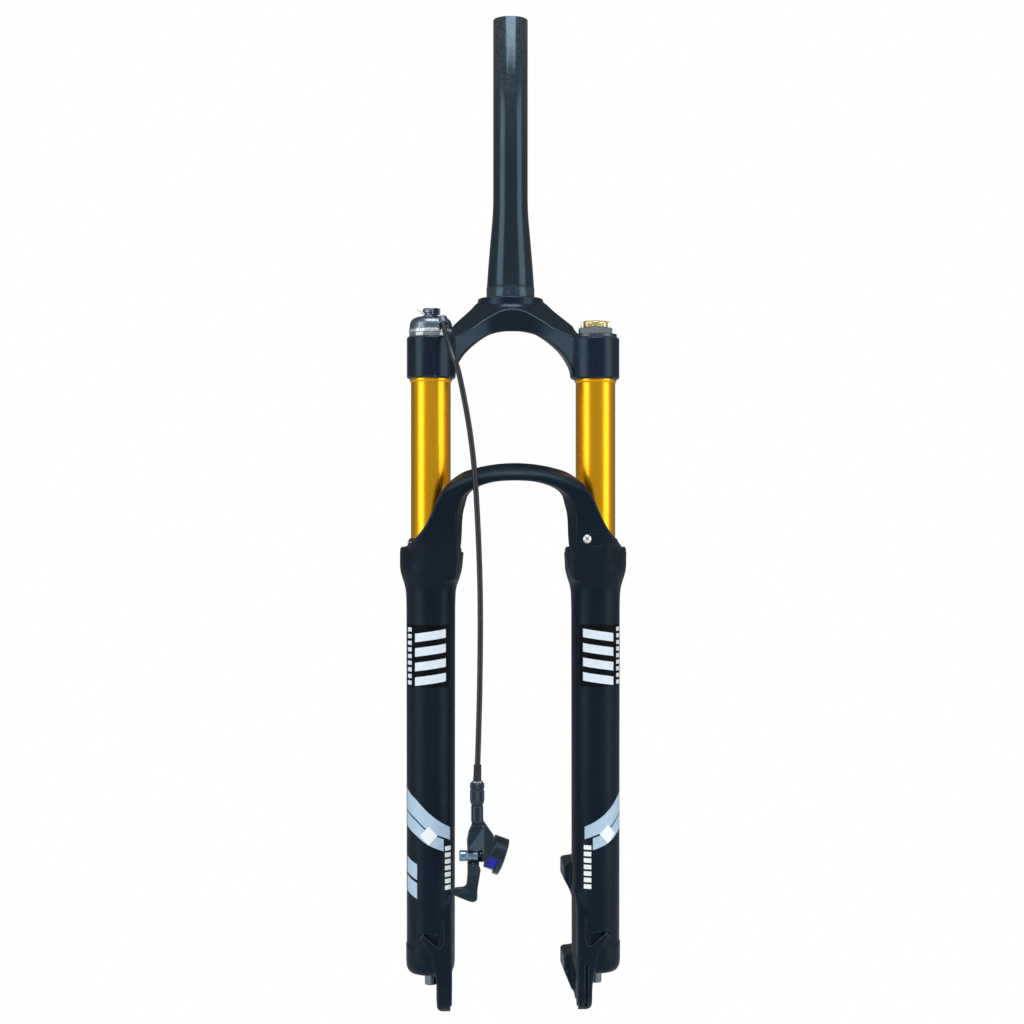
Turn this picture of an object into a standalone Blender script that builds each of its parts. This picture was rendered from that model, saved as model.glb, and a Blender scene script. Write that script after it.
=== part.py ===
"""Air-sprung bicycle suspension fork with a cable lockout, as separate solids.

Lengths are in millimetres and are scaled to metres when a mesh is made. The origin is the centre of the
crown-race seat on the steerer axis, +Z runs up the steerer, the wheel rolls towards -Y, and +X is on the
side that carries the brake posts.
"""

import math

import bmesh
import bpy
from mathutils import Matrix, Vector

MM = 0.001
CLEARANCE = 0.3      # between pieces that touch
RUNNING = 0.1        # round a sliding tube

SIDES = 24           # round the tubes and the casting
SMALL_SIDES = 16     # round inner and small pieces
WIRE_SIDES = 5

# Steerer and crown
STEERER_TOP = 231.0
STEERER_RADIUS = 14.3
STEERER_BORE = 11.5
TAPER_TOP = 77.0
TAPER_BOTTOM = 9.0
RACE_RADIUS = 19.9
PRESS_RADIUS = 19.3
CROWN_HEIGHT = 27.0
CROWN_BOSS_RADIUS = 27.0

# Stanchions
STANCHION_X = 66.5
STANCHION_Y = -40.0
STANCHION_RADIUS = 16.0
STANCHION_BORE = 14.0
STANCHION_TOP = -37.0
STANCHION_BOTTOM = -395.0
LEG_BOSS_TOP = -35.0
LEG_BOSS_BOTTOM = -69.0
LEG_BOSS_RADIUS = 19.3

# Lower casting
LEG_TOP = -204.0
LEG_FLOOR = -536.0
LEG_BOTTOM = -545.5
FOOT_END = -546.1    # the cast end, which the spot face under each bolt cuts back
LEG_RADIUS = 19.6
FLARE_RADIUS = 24.8
LEG_BORE = 17.3
SEAL_POCKET = 20.8
SEAL_POCKET_FLOOR = -212.3
FOAM_POCKET = 19.5
FOAM_POCKET_FLOOR = -220.6
ARCH_FRONT = -76.0
ARCH_BACK = -60.5
GUIDE_BOLT = (56.5, -197.3)
GUIDE_HALF_HEIGHT = 5.2
GUIDE_END = 68.0
GUIDE_FLOOR = -71.3
GUIDE_THICKNESS = 1.7

# Dropouts and brake posts
HUB_GAP = 100.0
DROPOUT_THICKNESS = 12.0
AXLE_Y = -46.0
AXLE_Z = -562.0
AXLE_SLOT = 9.4
DROPOUT_END_RADIUS = 15.0
POST_SPACING = 74.2
POST_TOP_Z = -467.5
POST_FACE_Y = 4.0
POST_INNER_X = 41.5
POST_OUTER_X = 57.0
POST_HOLE_RADIUS = 2.6
POST_HOLE_DEPTH = 14.0

# Shafts and feet
SHAFT_RADIUS = 5.0
PISTON_RADIUS = 13.7
FOOT_HOLE = 4.4
FOOT_SHANK = 4.0
FOOT_HEAD_RADIUS = 4.85
SPOT_FACE_RADIUS = 6.8

# Lockout and cable
LOCKOUT_SHAFT_RADIUS = 3.0
SPOOL_BOTTOM = -19.2
SPOOL_TOP = -12.3
CABLE_RADIUS = 2.2

# Remote: its own origin is on the cable's axis at the barrel adjuster's top
REMOTE = (-31.6, -98.0, -386.0)
REMOTE_FRONT = -6.5
REMOTE_BACK = 5.4
LEVER_PIVOT = (-2.9, 0.0, -66.0)
BUTTON_PLACE = (-1.9, 0.0, -56.5)
CLAMP_CENTRE = (-16.0, -81.0, -445.0)
CLAMP_ROLL = math.radians(20)
CLAMP_BORE = 11.1
CLAMP_OUTER = 14.6
CLAMP_HALF_WIDTH = 6.0
CLAMP_BOLT_OUT = 16.4

# One side of the crown: (x, top z, bottom z, middle y, half depth)
CROWN_STATIONS = (
    (0.0, -2.3, -26.5, -5.0, 25.0),
    (14.0, -2.6, -29.0, -7.0, 24.5),
    (27.0, -4.0, -37.0, -14.0, 21.0),
    (36.0, -12.0, -46.0, -21.0, 18.5),
    (45.0, -20.5, -54.5, -29.0, 16.5),
    (54.0, -28.5, -62.0, -36.0, 15.5),
    (66.0, -36.4, -67.3, -40.0, 15.0),
)

# One side of the arch: (outer x, outer z, inner x, inner z, front y, back y)
ARCH_STATIONS = (
    (0.0, -137.0, 0.0, -151.0, ARCH_FRONT, ARCH_BACK),
    (20.0, -138.8, 15.0, -152.6, ARCH_FRONT, ARCH_BACK),
    (37.0, -144.8, 27.0, -157.5, ARCH_FRONT, ARCH_BACK),
    (51.0, -156.0, 35.5, -168.0, ARCH_FRONT, ARCH_BACK),
    (64.0, -167.0, 40.0, -182.0, ARCH_FRONT, ARCH_BACK),
    (71.5, -188.0, 43.0, -199.0, -74.5, -58.0),
    (77.0, -203.0, 46.0, -214.0, -71.0, -50.0),
    (77.0, -224.0, 51.0, -231.0, -65.0, -45.0),
    (73.0, -244.0, 57.0, -247.0, -58.0, -45.0),
)

# The cable housing's middle line, from the lockout down to the remote
CABLE_POINTS = (
    (-58.0, -48.5, -18.0),
    (-56.0, -59.0, -31.0),
    (-50.5, -77.5, -52.0),
    (-45.0, -81.8, -68.5),
    (-36.5, -81.5, -114.0),
    (-31.8, -81.5, -161.0),
    (-28.8, -84.0, -235.0),
    (-29.3, -91.5, -308.0),
    (REMOTE[0], REMOTE[1], REMOTE[2] + 2.0),
)

FINISHES = {
    "black_alloy": ((0.010, 0.012, 0.016), 0.38, 0.55),
    "cast_black": ((0.009, 0.011, 0.015), 0.42, 0.25),
    "gold_anodised": ((0.75, 0.42, 0.04), 0.22, 1.0),
    "gold_cap": ((0.80, 0.55, 0.14), 0.25, 1.0),
    "grey_anodised": ((0.22, 0.26, 0.30), 0.35, 0.9),
    "dark_grey": ((0.05, 0.06, 0.07), 0.45, 0.7),
    "steel": ((0.55, 0.57, 0.60), 0.28, 1.0),
    "brass": ((0.62, 0.43, 0.16), 0.30, 1.0),
    "rubber": ((0.012, 0.012, 0.013), 0.75, 0.0),
    "foam": ((0.55, 0.50, 0.38), 0.95, 0.0),
    "polymer": ((0.04, 0.05, 0.06), 0.55, 0.0),
    "button_blue": ((0.30, 0.38, 0.50), 0.35, 0.8),
}


def remove_everything():
    for obj in list(bpy.data.objects):
        bpy.data.objects.remove(obj)


def material(finish):
    """The Principled material of one of the finishes, made once."""
    if finish in bpy.data.materials:
        return bpy.data.materials[finish]
    colour, roughness, metallic = FINISHES[finish]
    made = bpy.data.materials.new(finish)
    made.use_nodes = True
    shader = made.node_tree.nodes["Principled BSDF"]
    shader.inputs["Base Color"].default_value = (*colour, 1.0)
    shader.inputs["Roughness"].default_value = roughness
    shader.inputs["Metallic"].default_value = metallic
    return made


def finish_object(name, bm, finish, location=(0.0, 0.0, 0.0)):
    """Turns a bmesh in millimetres into a shaded object at a place in millimetres."""
    bmesh.ops.recalc_face_normals(bm, faces=bm.faces)
    bmesh.ops.scale(bm, vec=(MM, MM, MM), verts=bm.verts)
    mesh = bpy.data.meshes.new(name)
    bm.to_mesh(mesh)
    bm.free()
    mesh.shade_smooth()
    mesh.set_sharp_from_angle(angle=math.radians(35))
    obj = bpy.data.objects.new(name, mesh)
    obj.location = Vector(location) * MM
    obj.data.materials.append(material(finish))
    bpy.context.scene.collection.objects.link(obj)
    return obj


def join_rings(bm, first, second):
    """A band of faces between two rings of the same number of points."""
    for i in range(len(first)):
        bm.faces.new([first[i - 1], first[i], second[i], second[i - 1]])


def lathe(name, finish, profile, centre=(0.0, 0.0, 0.0), sides=SMALL_SIDES, wave=None):
    """A solid turned about a vertical axis.

    The profile runs round the section as (radius, z) points. A point of radius 0 stands for a flat cap.
    """
    bm = bmesh.new()
    rings = []
    for radius, z in profile:
        if radius == 0:
            rings.append(None)
            continue
        ring = []
        for i in range(sides):
            angle = math.tau * i / sides
            reach = radius + (wave(radius, angle) if wave else 0)
            ring.append(bm.verts.new((reach * math.cos(angle), reach * math.sin(angle), z)))
        rings.append(ring)
    for first, second in zip(rings, rings[1:] + rings[:1]):
        if first and second:
            join_rings(bm, first, second)
        elif first or second:
            bm.faces.new(first or second)
    return finish_object(name, bm, finish, centre)


def ring(name, finish, inner, outer, bottom, top, centre=(0.0, 0.0, 0.0), sides=SMALL_SIDES, chamfer=0.0):
    """A plain or chamfered bush."""
    profile = [(inner, bottom), (outer, bottom + chamfer), (outer, top - chamfer), (inner, top)]
    if chamfer:
        profile = [
            (inner, bottom), (outer - chamfer, bottom), (outer, bottom + chamfer),
            (outer, top - chamfer), (outer - chamfer, top), (inner, top),
        ]
    return lathe(name, finish, profile, centre, sides)


def loft(name, finish, sections, location=(0.0, 0.0, 0.0)):
    """A solid through a row of sections that have the same number of points."""
    bm = bmesh.new()
    rings = [[bm.verts.new(point) for point in section] for section in sections]
    for first, second in zip(rings, rings[1:]):
        join_rings(bm, first, second)
    bm.faces.new(rings[0])
    bm.faces.new(rings[-1])
    return finish_object(name, bm, finish, location)


def prism(name, finish, outline, low, high, axis, location=(0.0, 0.0, 0.0)):
    """An outline pushed along an axis: (y, z) points along X, (x, z) points along Y, (x, y) points along Z."""
    place = {
        "X": lambda a, b, depth: (depth, a, b),
        "Y": lambda a, b, depth: (a, depth, b),
        "Z": lambda a, b, depth: (a, b, depth),
    }[axis]
    sections = [[place(a, b, depth) for a, b in outline] for depth in (low, high)]
    return loft(name, finish, sections, location)


def smooth_path(points, steps):
    """Catmull-Rom points through the given ones."""
    points = [Vector(p) for p in points]
    ends = [points[0] * 2 - points[1]] + points + [points[-1] * 2 - points[-2]]
    path = []
    for before, start, end, after in zip(ends, ends[1:], ends[2:], ends[3:]):
        for i in range(steps):
            t = i / steps
            path.append(0.5 * (
                2 * start
                + (end - before) * t
                + (2 * before - 5 * start + 4 * end - after) * t ** 2
                + (3 * start - before - 3 * end + after) * t ** 3
            ))
    path.append(points[-1])
    return path


def path_rings(path, radius, sides):
    """Rings of points square to a path, without twist."""
    tangents = []
    for i in range(len(path)):
        tangents.append((path[min(i + 1, len(path) - 1)] - path[max(i - 1, 0)]).normalized())
    side = tangents[0].orthogonal().normalized()
    rings = []
    for middle, tangent in zip(path, tangents):
        side = (side - tangent * side.dot(tangent)).normalized()
        other = tangent.cross(side)
        angles = [math.tau * i / sides for i in range(sides)]
        rings.append([middle + (side * math.cos(a) + other * math.sin(a)) * radius for a in angles])
    return rings


def rod(name, finish, path, radius, sides=12, location=(0.0, 0.0, 0.0)):
    """A round bar along a path."""
    return loft(name, finish, path_rings(path, radius, sides), location)


def pipe(name, finish, path, inner, outer, sides=12):
    """A tube along a path, open at both ends."""
    bm = bmesh.new()
    outside = [[bm.verts.new(p) for p in r] for r in path_rings(path, outer, sides)]
    inside = [[bm.verts.new(p) for p in r] for r in path_rings(path, inner, sides)]
    loop = outside + inside[::-1]
    for first, second in zip(loop, loop[1:] + loop[:1]):
        join_rings(bm, first, second)
    return finish_object(name, bm, finish)


def straight(start, end):
    return [Vector(start), Vector(end)]


def combine(target, operation, tools):
    """Adds or cuts the tools, then keeps only the result."""
    for tool in tools:
        modifier = target.modifiers.new(tool.name, "BOOLEAN")
        modifier.operation = operation
        modifier.object = tool
    bpy.context.view_layer.update()
    graph = bpy.context.evaluated_depsgraph_get()
    result = bpy.data.meshes.new_from_object(target.evaluated_get(graph))
    target.modifiers.clear()
    target.data = result
    for tool in tools:
        bpy.data.objects.remove(tool)
    result.shade_smooth()
    result.set_sharp_from_angle(angle=math.radians(35))


def both_sides(stations):
    """The stations of one half, mirrored to run from -X to +X, with each one's side."""
    return [(-1, s) for s in stations[:0:-1]] + [(1, s) for s in stations]


def leg_axis(side):
    return (side * STANCHION_X, STANCHION_Y, 0.0)


# ---------------------------------------------------------------- upper assembly


def steerer_tube():
    lathe("steerer_tube", "black_alloy", [
        (STEERER_BORE, STEERER_TOP),
        (STEERER_BORE, -CROWN_HEIGHT + 1),
        (PRESS_RADIUS - 1, -CROWN_HEIGHT + 1),
        (PRESS_RADIUS, -CROWN_HEIGHT + 2),
        (PRESS_RADIUS, CLEARANCE),
        (RACE_RADIUS, CLEARANCE),
        (RACE_RADIUS, TAPER_BOTTOM - 1),
        (RACE_RADIUS - 0.8, TAPER_BOTTOM),
        (STEERER_RADIUS + 2.2, 50.0),
        (STEERER_RADIUS, TAPER_TOP),
        (STEERER_RADIUS, STEERER_TOP - 0.5),
        (STEERER_RADIUS - 0.5, STEERER_TOP),
    ], sides=SIDES)


def crown_section(side, station):
    """A twelve-sided rounded section of the crown's arm, square to X."""
    x, top, bottom, middle, half_depth = station
    half_height = (top - bottom) / 2
    points = []
    for i in range(12):
        angle = math.tau * (i + 0.5) / 12
        across = math.copysign(abs(math.cos(angle)) ** 0.6, math.cos(angle))
        up = math.copysign(abs(math.sin(angle)) ** 0.6, math.sin(angle))
        points.append((side * x, middle + half_depth * across, (top + bottom) / 2 + half_height * up))
    return points


def crown():
    body = loft("crown", "cast_black", [crown_section(*s) for s in both_sides(CROWN_STATIONS)])
    hub = lathe("crown_hub", "cast_black", [
        (0, 0), (CROWN_BOSS_RADIUS - 1.5, 0), (CROWN_BOSS_RADIUS, -1.5),
        (CROWN_BOSS_RADIUS, -CROWN_HEIGHT + 2.5), (CROWN_BOSS_RADIUS - 2.5, -CROWN_HEIGHT), (0, -CROWN_HEIGHT),
    ], sides=SIDES)
    bosses = [lathe("crown_boss", "cast_black", [
        (0, LEG_BOSS_TOP), (LEG_BOSS_RADIUS - 1, LEG_BOSS_TOP), (LEG_BOSS_RADIUS, LEG_BOSS_TOP - 1),
        (LEG_BOSS_RADIUS, LEG_BOSS_BOTTOM + 1), (LEG_BOSS_RADIUS - 1, LEG_BOSS_BOTTOM), (0, LEG_BOSS_BOTTOM),
    ], leg_axis(side), SIDES) for side in (-1, 1)]
    combine(body, "UNION", [hub] + bosses)
    steerer_bore = PRESS_RADIUS + CLEARANCE
    leg_bore = STANCHION_RADIUS + CLEARANCE
    cuts = [lathe("steerer_bore", "cast_black", [
        (0, 5), (steerer_bore, 5), (steerer_bore, -CROWN_HEIGHT - 20), (0, -CROWN_HEIGHT - 20),
    ], sides=SIDES)]
    for side in (-1, 1):
        cuts.append(lathe("leg_bore", "cast_black", [
            (0, LEG_BOSS_TOP + 20), (leg_bore + 1.5, LEG_BOSS_TOP + 20), (leg_bore + 1.5, LEG_BOSS_TOP - 2),
            (leg_bore, LEG_BOSS_TOP - 2), (leg_bore, LEG_BOSS_BOTTOM - 5), (0, LEG_BOSS_BOTTOM - 5),
        ], leg_axis(side), SIDES))
    combine(body, "DIFFERENCE", cuts)


def stanchions():
    """Anodised tubes with a small shoulder that stops under the crown."""
    shoulder = STANCHION_RADIUS + 1
    for side, word in ((-1, "left"), (1, "right")):
        lathe(f"stanchion_{word}", "gold_anodised", [
            (STANCHION_BORE, STANCHION_TOP), (STANCHION_BORE, STANCHION_BOTTOM),
            (STANCHION_RADIUS - 0.6, STANCHION_BOTTOM), (STANCHION_RADIUS, STANCHION_BOTTOM + 0.6),
            (STANCHION_RADIUS, LEG_BOSS_BOTTOM - 2.6), (shoulder, LEG_BOSS_BOTTOM - 2.2),
            (shoulder, LEG_BOSS_BOTTOM - CLEARANCE), (STANCHION_RADIUS, LEG_BOSS_BOTTOM - CLEARANCE),
            (STANCHION_RADIUS, STANCHION_TOP),
        ], leg_axis(side), SIDES)


def damper_top():
    """Threaded cap, lock ring and hollow dome of the lockout, with the cable's stop cast on the dome."""
    shaft_hole = LOCKOUT_SHAFT_RADIUS + CLEARANCE
    axis = leg_axis(-1)
    lathe("damper_top_cap", "dark_grey", [
        (shaft_hole, -50), (PISTON_RADIUS - 1, -50), (PISTON_RADIUS, -49), (PISTON_RADIUS, -36),
        (17.3, -36), (17.3, -32.3), (shaft_hole, -32.3),
    ], axis)
    ring("lock_ring", "steel", 13.0, 17.6, -32.0, -29.4, axis, SIDES, 0.4)
    dome = lathe("lockout_housing", "grey_anodised", [
        (14.2, -29.1), (17.3, -29.1), (17.3, -27.0), (16.5, -24.0), (14.2, -21.4), (11.0, -20.0),
        (shaft_hole, -19.5), (shaft_hole, -21.8), (12.5, -22.6),
    ], axis, SIDES)
    start, end = Vector(CABLE_POINTS[0]), Vector(CABLE_POINTS[1])
    base = Vector(axis)
    stop = rod("stop", "grey_anodised", straight(start.lerp(end, 0.25) - base, start.lerp(end, 0.62) - base), 3.9, 16, axis)
    combine(dome, "UNION", [stop])
    bore = rod("bore", "grey_anodised", straight(start.lerp(end, -0.5) - base, end - base), 3.1, 16, axis)
    combine(dome, "DIFFERENCE", [bore])


def helix(radius, bottom, top, turns, steps_per_turn):
    path = []
    for i in range(turns * steps_per_turn + 1):
        angle = math.tau * i / steps_per_turn
        z = bottom + (top - bottom) * i / (turns * steps_per_turn)
        path.append(Vector((radius * math.cos(angle), radius * math.sin(angle), z)))
    return path


def lockout_return_spring():
    path = helix(9.5, -28.0, -23.8, 3, 12)
    rod("lockout_return_spring", "steel", path, 0.6, WIRE_SIDES, leg_axis(-1))


def spool_parts():
    """What turns with the lockout spool; every origin is on the left stanchion's axis."""
    axis = leg_axis(-1)
    shaft_hole = LOCKOUT_SHAFT_RADIUS + CLEARANCE
    spool = lathe("cable_spool", "grey_anodised", [
        (0, SPOOL_BOTTOM), (6.6, SPOOL_BOTTOM), (6.6, -18.2), (5.0, -17.8),
        (5.0, -16.4), (6.6, -16.0), (6.6, -13.0), (5.8, SPOOL_TOP), (0, SPOOL_TOP),
    ], axis)
    lug = prism("lug", "grey_anodised", [(0.5, 0), (7.5, 0), (7.5, -8.8), (0.5, -8.8)], -18.2, -12.8, "Z", axis)
    combine(spool, "UNION", [lug])
    hole = rod("hole", "grey_anodised", straight((4, -3.6, -15.2), (4, -12, -15.2)), 1.9, 12, axis)
    bore = rod("bore", "grey_anodised", straight((0, 0, -25), (0, 0, -13.8)), shaft_hole, SMALL_SIDES, axis)
    combine(spool, "DIFFERENCE", [hole, bore])
    bolt = rod("cable_pinch_bolt", "dark_grey", straight((4, -4.2, -15.2), (4, -9.1, -15.2)), 1.6, 12, axis)
    head = rod("head", "dark_grey", straight((4, -9.1, -15.2), (4, -11.2, -15.2)), 2.3, 12, axis)
    combine(bolt, "UNION", [head])
    cable = smooth_path([(-5.2, -3.8, -17.1), (-7.5, -2.5, -16.0), (-10.5, -1.5, -13.5), (-11.5, -1.0, -11.2)], 4)
    rod("inner_cable", "steel", cable, 0.7, 8, axis)
    lathe("lockout_shaft", "steel", [
        (0, -14.2), (LOCKOUT_SHAFT_RADIUS, -14.2), (LOCKOUT_SHAFT_RADIUS, -150.0), (0, -150.0),
    ], axis)
    lathe("lockout_gate", "brass", [
        (0, -150.3), (9.0, -150.3), (9.0, -153.3), (0, -153.3),
    ], axis)


def compression_valve():
    valve = ring("compression_valve", "steel", 2.5, PISTON_RADIUS, -166.0, -153.6, leg_axis(-1), chamfer=0.8)
    ports = []
    for i in range(3):
        angle = math.tau * i / 3
        x = 6.5 * math.cos(angle)
        y = 6.5 * math.sin(angle)
        ports.append(rod("port", "steel", straight((x, y, -170), (x, y, -150)), 1.6, 10, leg_axis(-1)))
    combine(valve, "DIFFERENCE", ports)


def hexagon(across_flats):
    corner = across_flats / math.sqrt(3)
    return [
        (corner * math.cos(math.pi / 2 + math.tau * i / 6), corner * math.sin(math.pi / 2 + math.tau * i / 6))
        for i in range(6)
    ]


def air_top():
    """Hexagon top cap with the valve screwed into it."""
    axis = leg_axis(1)
    cap = lathe("air_top_cap", "dark_grey", [
        (0, -50), (PISTON_RADIUS - 1, -50), (PISTON_RADIUS, -49), (PISTON_RADIUS, -36),
        (17.3, -36), (17.3, -32.4), (0, -32.4),
    ], axis)
    combine(cap, "UNION", [prism("hex", "dark_grey", hexagon(26.0), -33.0, -27.6, "Z", axis)])
    bore = lathe("bore", "dark_grey", [(0, -20), (4.3, -20), (4.3, -60), (0, -60)], axis)
    combine(cap, "DIFFERENCE", [bore])
    lathe("valve_stem", "brass", [(2.4, -24.5), (2.4, -49), (4.0, -49), (4.0, -24.9), (3.6, -24.5)], axis)
    ring("air_cap_seal", "rubber", PISTON_RADIUS + 0.2, 16.2, LEG_BOSS_TOP - 1.7, LEG_BOSS_TOP - 1.3, axis)


def valve_core():
    lathe("valve_core", "brass", [
        (0, -24.0), (0.8, -24.0), (0.8, -28.0), (2.1, -29.0), (2.1, -44.0), (0, -44.0),
    ], leg_axis(1), 16)


def air_valve_cap():
    """Hollow screw cap with a scalloped grip."""
    def scallop(radius, angle):
        return 0.55 * math.cos(12 * angle) if radius > 10 else 0

    lathe("air_valve_cap", "gold_cap", [
        (5.0, -27.2), (11.4, -27.2), (11.4, -23.0), (9.6, -22.0), (0, -22.0), (0, -23.3), (5.0, -23.3),
    ], leg_axis(1), 48, scallop)


def seal_heads():
    """Plugs in the stanchions' lower ends, with a rubber top-out bumper on each."""
    for side, word, name in ((-1, "left", "damper_seal_head"), (1, "right", "air_seal_head")):
        axis = leg_axis(side)
        ring(name, "steel", SHAFT_RADIUS + CLEARANCE, PISTON_RADIUS, -393.0, -376.0, axis, chamfer=0.8)
        ring(f"topout_bumper_{word}", "rubber", SHAFT_RADIUS + 0.4, 9.0, -375.6, -366.0, axis, chamfer=1.5)


# ---------------------------------------------------------------- lower assembly


def arch_section(side, station):
    """Eight points round the arch: a front roll face, a front plate and a back."""
    outer_x, outer_z, inner_x, inner_z, front, back = station
    outer = Vector((outer_x, outer_z))
    inner = Vector((inner_x, inner_z))
    depth = back - front
    shape = (
        (0.0, 0.25), (0.0, 0.75), (0.12, 1.0), (0.88, 1.0), (1.0, 0.8), (1.0, 0.2), (0.80, 0.0), (0.18, 0.0),
    )
    points = []
    for across, deep in shape:
        place = outer.lerp(inner, across)
        points.append((side * place.x, front + depth * deep, place.y))
    return points


def leg_solid(side):
    return lathe("leg", "cast_black", [
        (0, LEG_TOP), (FLARE_RADIUS - 1.2, LEG_TOP), (FLARE_RADIUS, LEG_TOP - 3), (FLARE_RADIUS, -221),
        (FLARE_RADIUS - 1.8, -229), (LEG_RADIUS + 1.4, -237), (LEG_RADIUS + 0.2, -246), (LEG_RADIUS - 0.3, -534),
        (LEG_RADIUS - 2.2, -541.5), (LEG_RADIUS - 6.5, FOOT_END), (0, FOOT_END),
    ], leg_axis(side), SIDES)


def leg_bore(side):
    return lathe("bore", "cast_black", [
        (0, -140), (SEAL_POCKET, -140), (SEAL_POCKET, SEAL_POCKET_FLOOR), (FOAM_POCKET, SEAL_POCKET_FLOOR),
        (FOAM_POCKET, FOAM_POCKET_FLOOR), (LEG_BORE, FOAM_POCKET_FLOOR), (LEG_BORE, LEG_FLOOR),
        (FOOT_HOLE, LEG_FLOOR), (FOOT_HOLE, LEG_BOTTOM), (SPOT_FACE_RADIUS, LEG_BOTTOM),
        (SPOT_FACE_RADIUS, AXLE_Z), (0, AXLE_Z),
    ], leg_axis(side), SIDES)


def arc(centre, radius, start, end, steps):
    """Points on an arc, angles in degrees."""
    points = []
    for i in range(steps + 1):
        angle = math.radians(start + (end - start) * i / steps)
        points.append((centre[0] + radius * math.cos(angle), centre[1] + radius * math.sin(angle)))
    return points


def dropout(side):
    """The plate that holds the axle, blended into the leg above it."""
    low = HUB_GAP / 2
    high = low + DROPOUT_THICKNESS
    end = arc((AXLE_Y, AXLE_Z), DROPOUT_END_RADIUS, 180, 360, 10)
    outline = [(-56.5, -500), (-59.5, -530)] + end + [(-29, -545), (-25, -530), (-30, -500)]
    return prism("dropout", "cast_black", outline, side * low, side * high, "X")


def axle_slot(side):
    top = arc((AXLE_Y, AXLE_Z), AXLE_SLOT / 2, 0, 180, 8)
    bottom = AXLE_Z - DROPOUT_END_RADIUS - 5
    outline = top + [(AXLE_Y - AXLE_SLOT / 2, bottom), (AXLE_Y + AXLE_SLOT / 2, bottom)]
    low = HUB_GAP / 2 - 3
    return prism("slot", "cast_black", outline, side * low, side * (low + DROPOUT_THICKNESS + 6), "X")


def brake_post(z):
    """A boss behind the right leg, with its flat face to the rear."""
    outline = [(-30, z + 10), (-10, z + 9), (POST_FACE_Y, z + 8), (POST_FACE_Y, z - 8), (-10, z - 13), (-30, z - 21)]
    if z < LEG_FLOOR:
        outline[-1] = (-30, z - 12)
    return prism("post", "cast_black", outline, POST_INNER_X, POST_OUTER_X, "X")


def brake_post_hole(z):
    x = (POST_INNER_X + POST_OUTER_X) / 2
    ends = straight((x, POST_FACE_Y + 3, z), (x, POST_FACE_Y - POST_HOLE_DEPTH, z))
    return rod("post_hole", "cast_black", ends, POST_HOLE_RADIUS, 16)


def lower_casting():
    """Both legs, the arch, the dropouts and the brake posts are one casting."""
    body = loft("lower_casting", "cast_black", [arch_section(*s) for s in both_sides(ARCH_STATIONS)])
    added = []
    for side in (-1, 1):
        added += [leg_solid(side), dropout(side)]
    posts = (POST_TOP_Z, POST_TOP_Z - POST_SPACING)
    added += [brake_post(z) for z in posts]
    combine(body, "UNION", added)
    cuts = []
    for side in (-1, 1):
        cuts += [leg_bore(side), axle_slot(side)]
    cuts += [brake_post_hole(z) for z in posts]
    cuts += hose_guide_recess()
    combine(body, "DIFFERENCE", cuts)


def leg_linings():
    """Wiper, its garter spring, oil foam and the two slide bushes of each leg."""
    slide = STANCHION_RADIUS + RUNNING
    for side, word in ((-1, "left"), (1, "right")):
        axis = leg_axis(side)
        lathe(f"wiper_seal_{word}", "rubber", [
            (slide, -212.0), (SEAL_POCKET - CLEARANCE, -212.0), (SEAL_POCKET - CLEARANCE, LEG_TOP + CLEARANCE),
            (18.6, LEG_TOP + CLEARANCE), (18.6, -201.4), (17.7, -201.2), (17.7, -199.8), (18.4, -199.6),
            (17.4, -197.2), (slide, -197.0),
        ], axis, SIDES)
        ring(f"garter_spring_{word}", "steel", 18.0, 18.8, -201.0, -200.0, axis, SIDES, 0.25)
        ring(f"foam_ring_{word}", "foam", slide + 0.2, FOAM_POCKET - CLEARANCE, -220.2, -213.0, axis, SIDES)
        bush = LEG_BORE - CLEARANCE / 2
        ring(f"bushing_upper_{word}", "polymer", slide, bush, -242.0, -224.0, axis, SIDES)
        ring(f"bushing_lower_{word}", "polymer", slide, bush, -352.0, -332.0, axis, SIDES)


def feet():
    """Foot bolts, crush washers and bottom-out bumpers."""
    for side, word in ((-1, "left"), (1, "right")):
        axis = leg_axis(side)
        lathe(f"foot_bolt_{word}", "steel", [
            (0, -522.0), (FOOT_SHANK, -522.0), (FOOT_SHANK, -547.6), (FOOT_HEAD_RADIUS, -547.6),
            (FOOT_HEAD_RADIUS, -555.2), (FOOT_HEAD_RADIUS - 0.6, -555.8), (2.6, -555.8), (2.6, -552.0), (0, -552.0),
        ], axis)
        ring(f"crush_washer_{word}", "brass", FOOT_HOLE, SPOT_FACE_RADIUS - 0.4, -547.3, LEG_BOTTOM - CLEARANCE, axis)
        ring(f"bottomout_bumper_{word}", "rubber", SHAFT_RADIUS + 0.4, 12.0, -535.6, -518.0, axis, chamfer=2.0)


def shaft(name, side, top):
    """A hollow shaft with a thread bore for its foot bolt."""
    bolt_bore = FOOT_SHANK + CLEARANCE
    lathe(name, "steel", [
        (0, top), (SHAFT_RADIUS - 0.5, top), (SHAFT_RADIUS, top - 0.5), (SHAFT_RADIUS, LEG_FLOOR + CLEARANCE),
        (bolt_bore, LEG_FLOOR + CLEARANCE), (bolt_bore, -519.0), (0, -519.0),
    ], leg_axis(side))


def piston(name, finish, side, bottom, top, groove):
    """A piston with a ring groove round its middle."""
    middle = (bottom + top) / 2
    bore = SHAFT_RADIUS + CLEARANCE
    lathe(name, finish, [
        (bore, bottom), (PISTON_RADIUS - 0.6, bottom), (PISTON_RADIUS - 0.1, bottom + 0.5),
        (PISTON_RADIUS - 0.1, middle - groove / 2), (PISTON_RADIUS - 2, middle - groove / 2),
        (PISTON_RADIUS - 2, middle + groove / 2), (PISTON_RADIUS - 0.1, middle + groove / 2),
        (PISTON_RADIUS - 0.1, top - 0.5), (PISTON_RADIUS - 0.6, top), (bore, top),
    ], leg_axis(side), SIDES)


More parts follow.
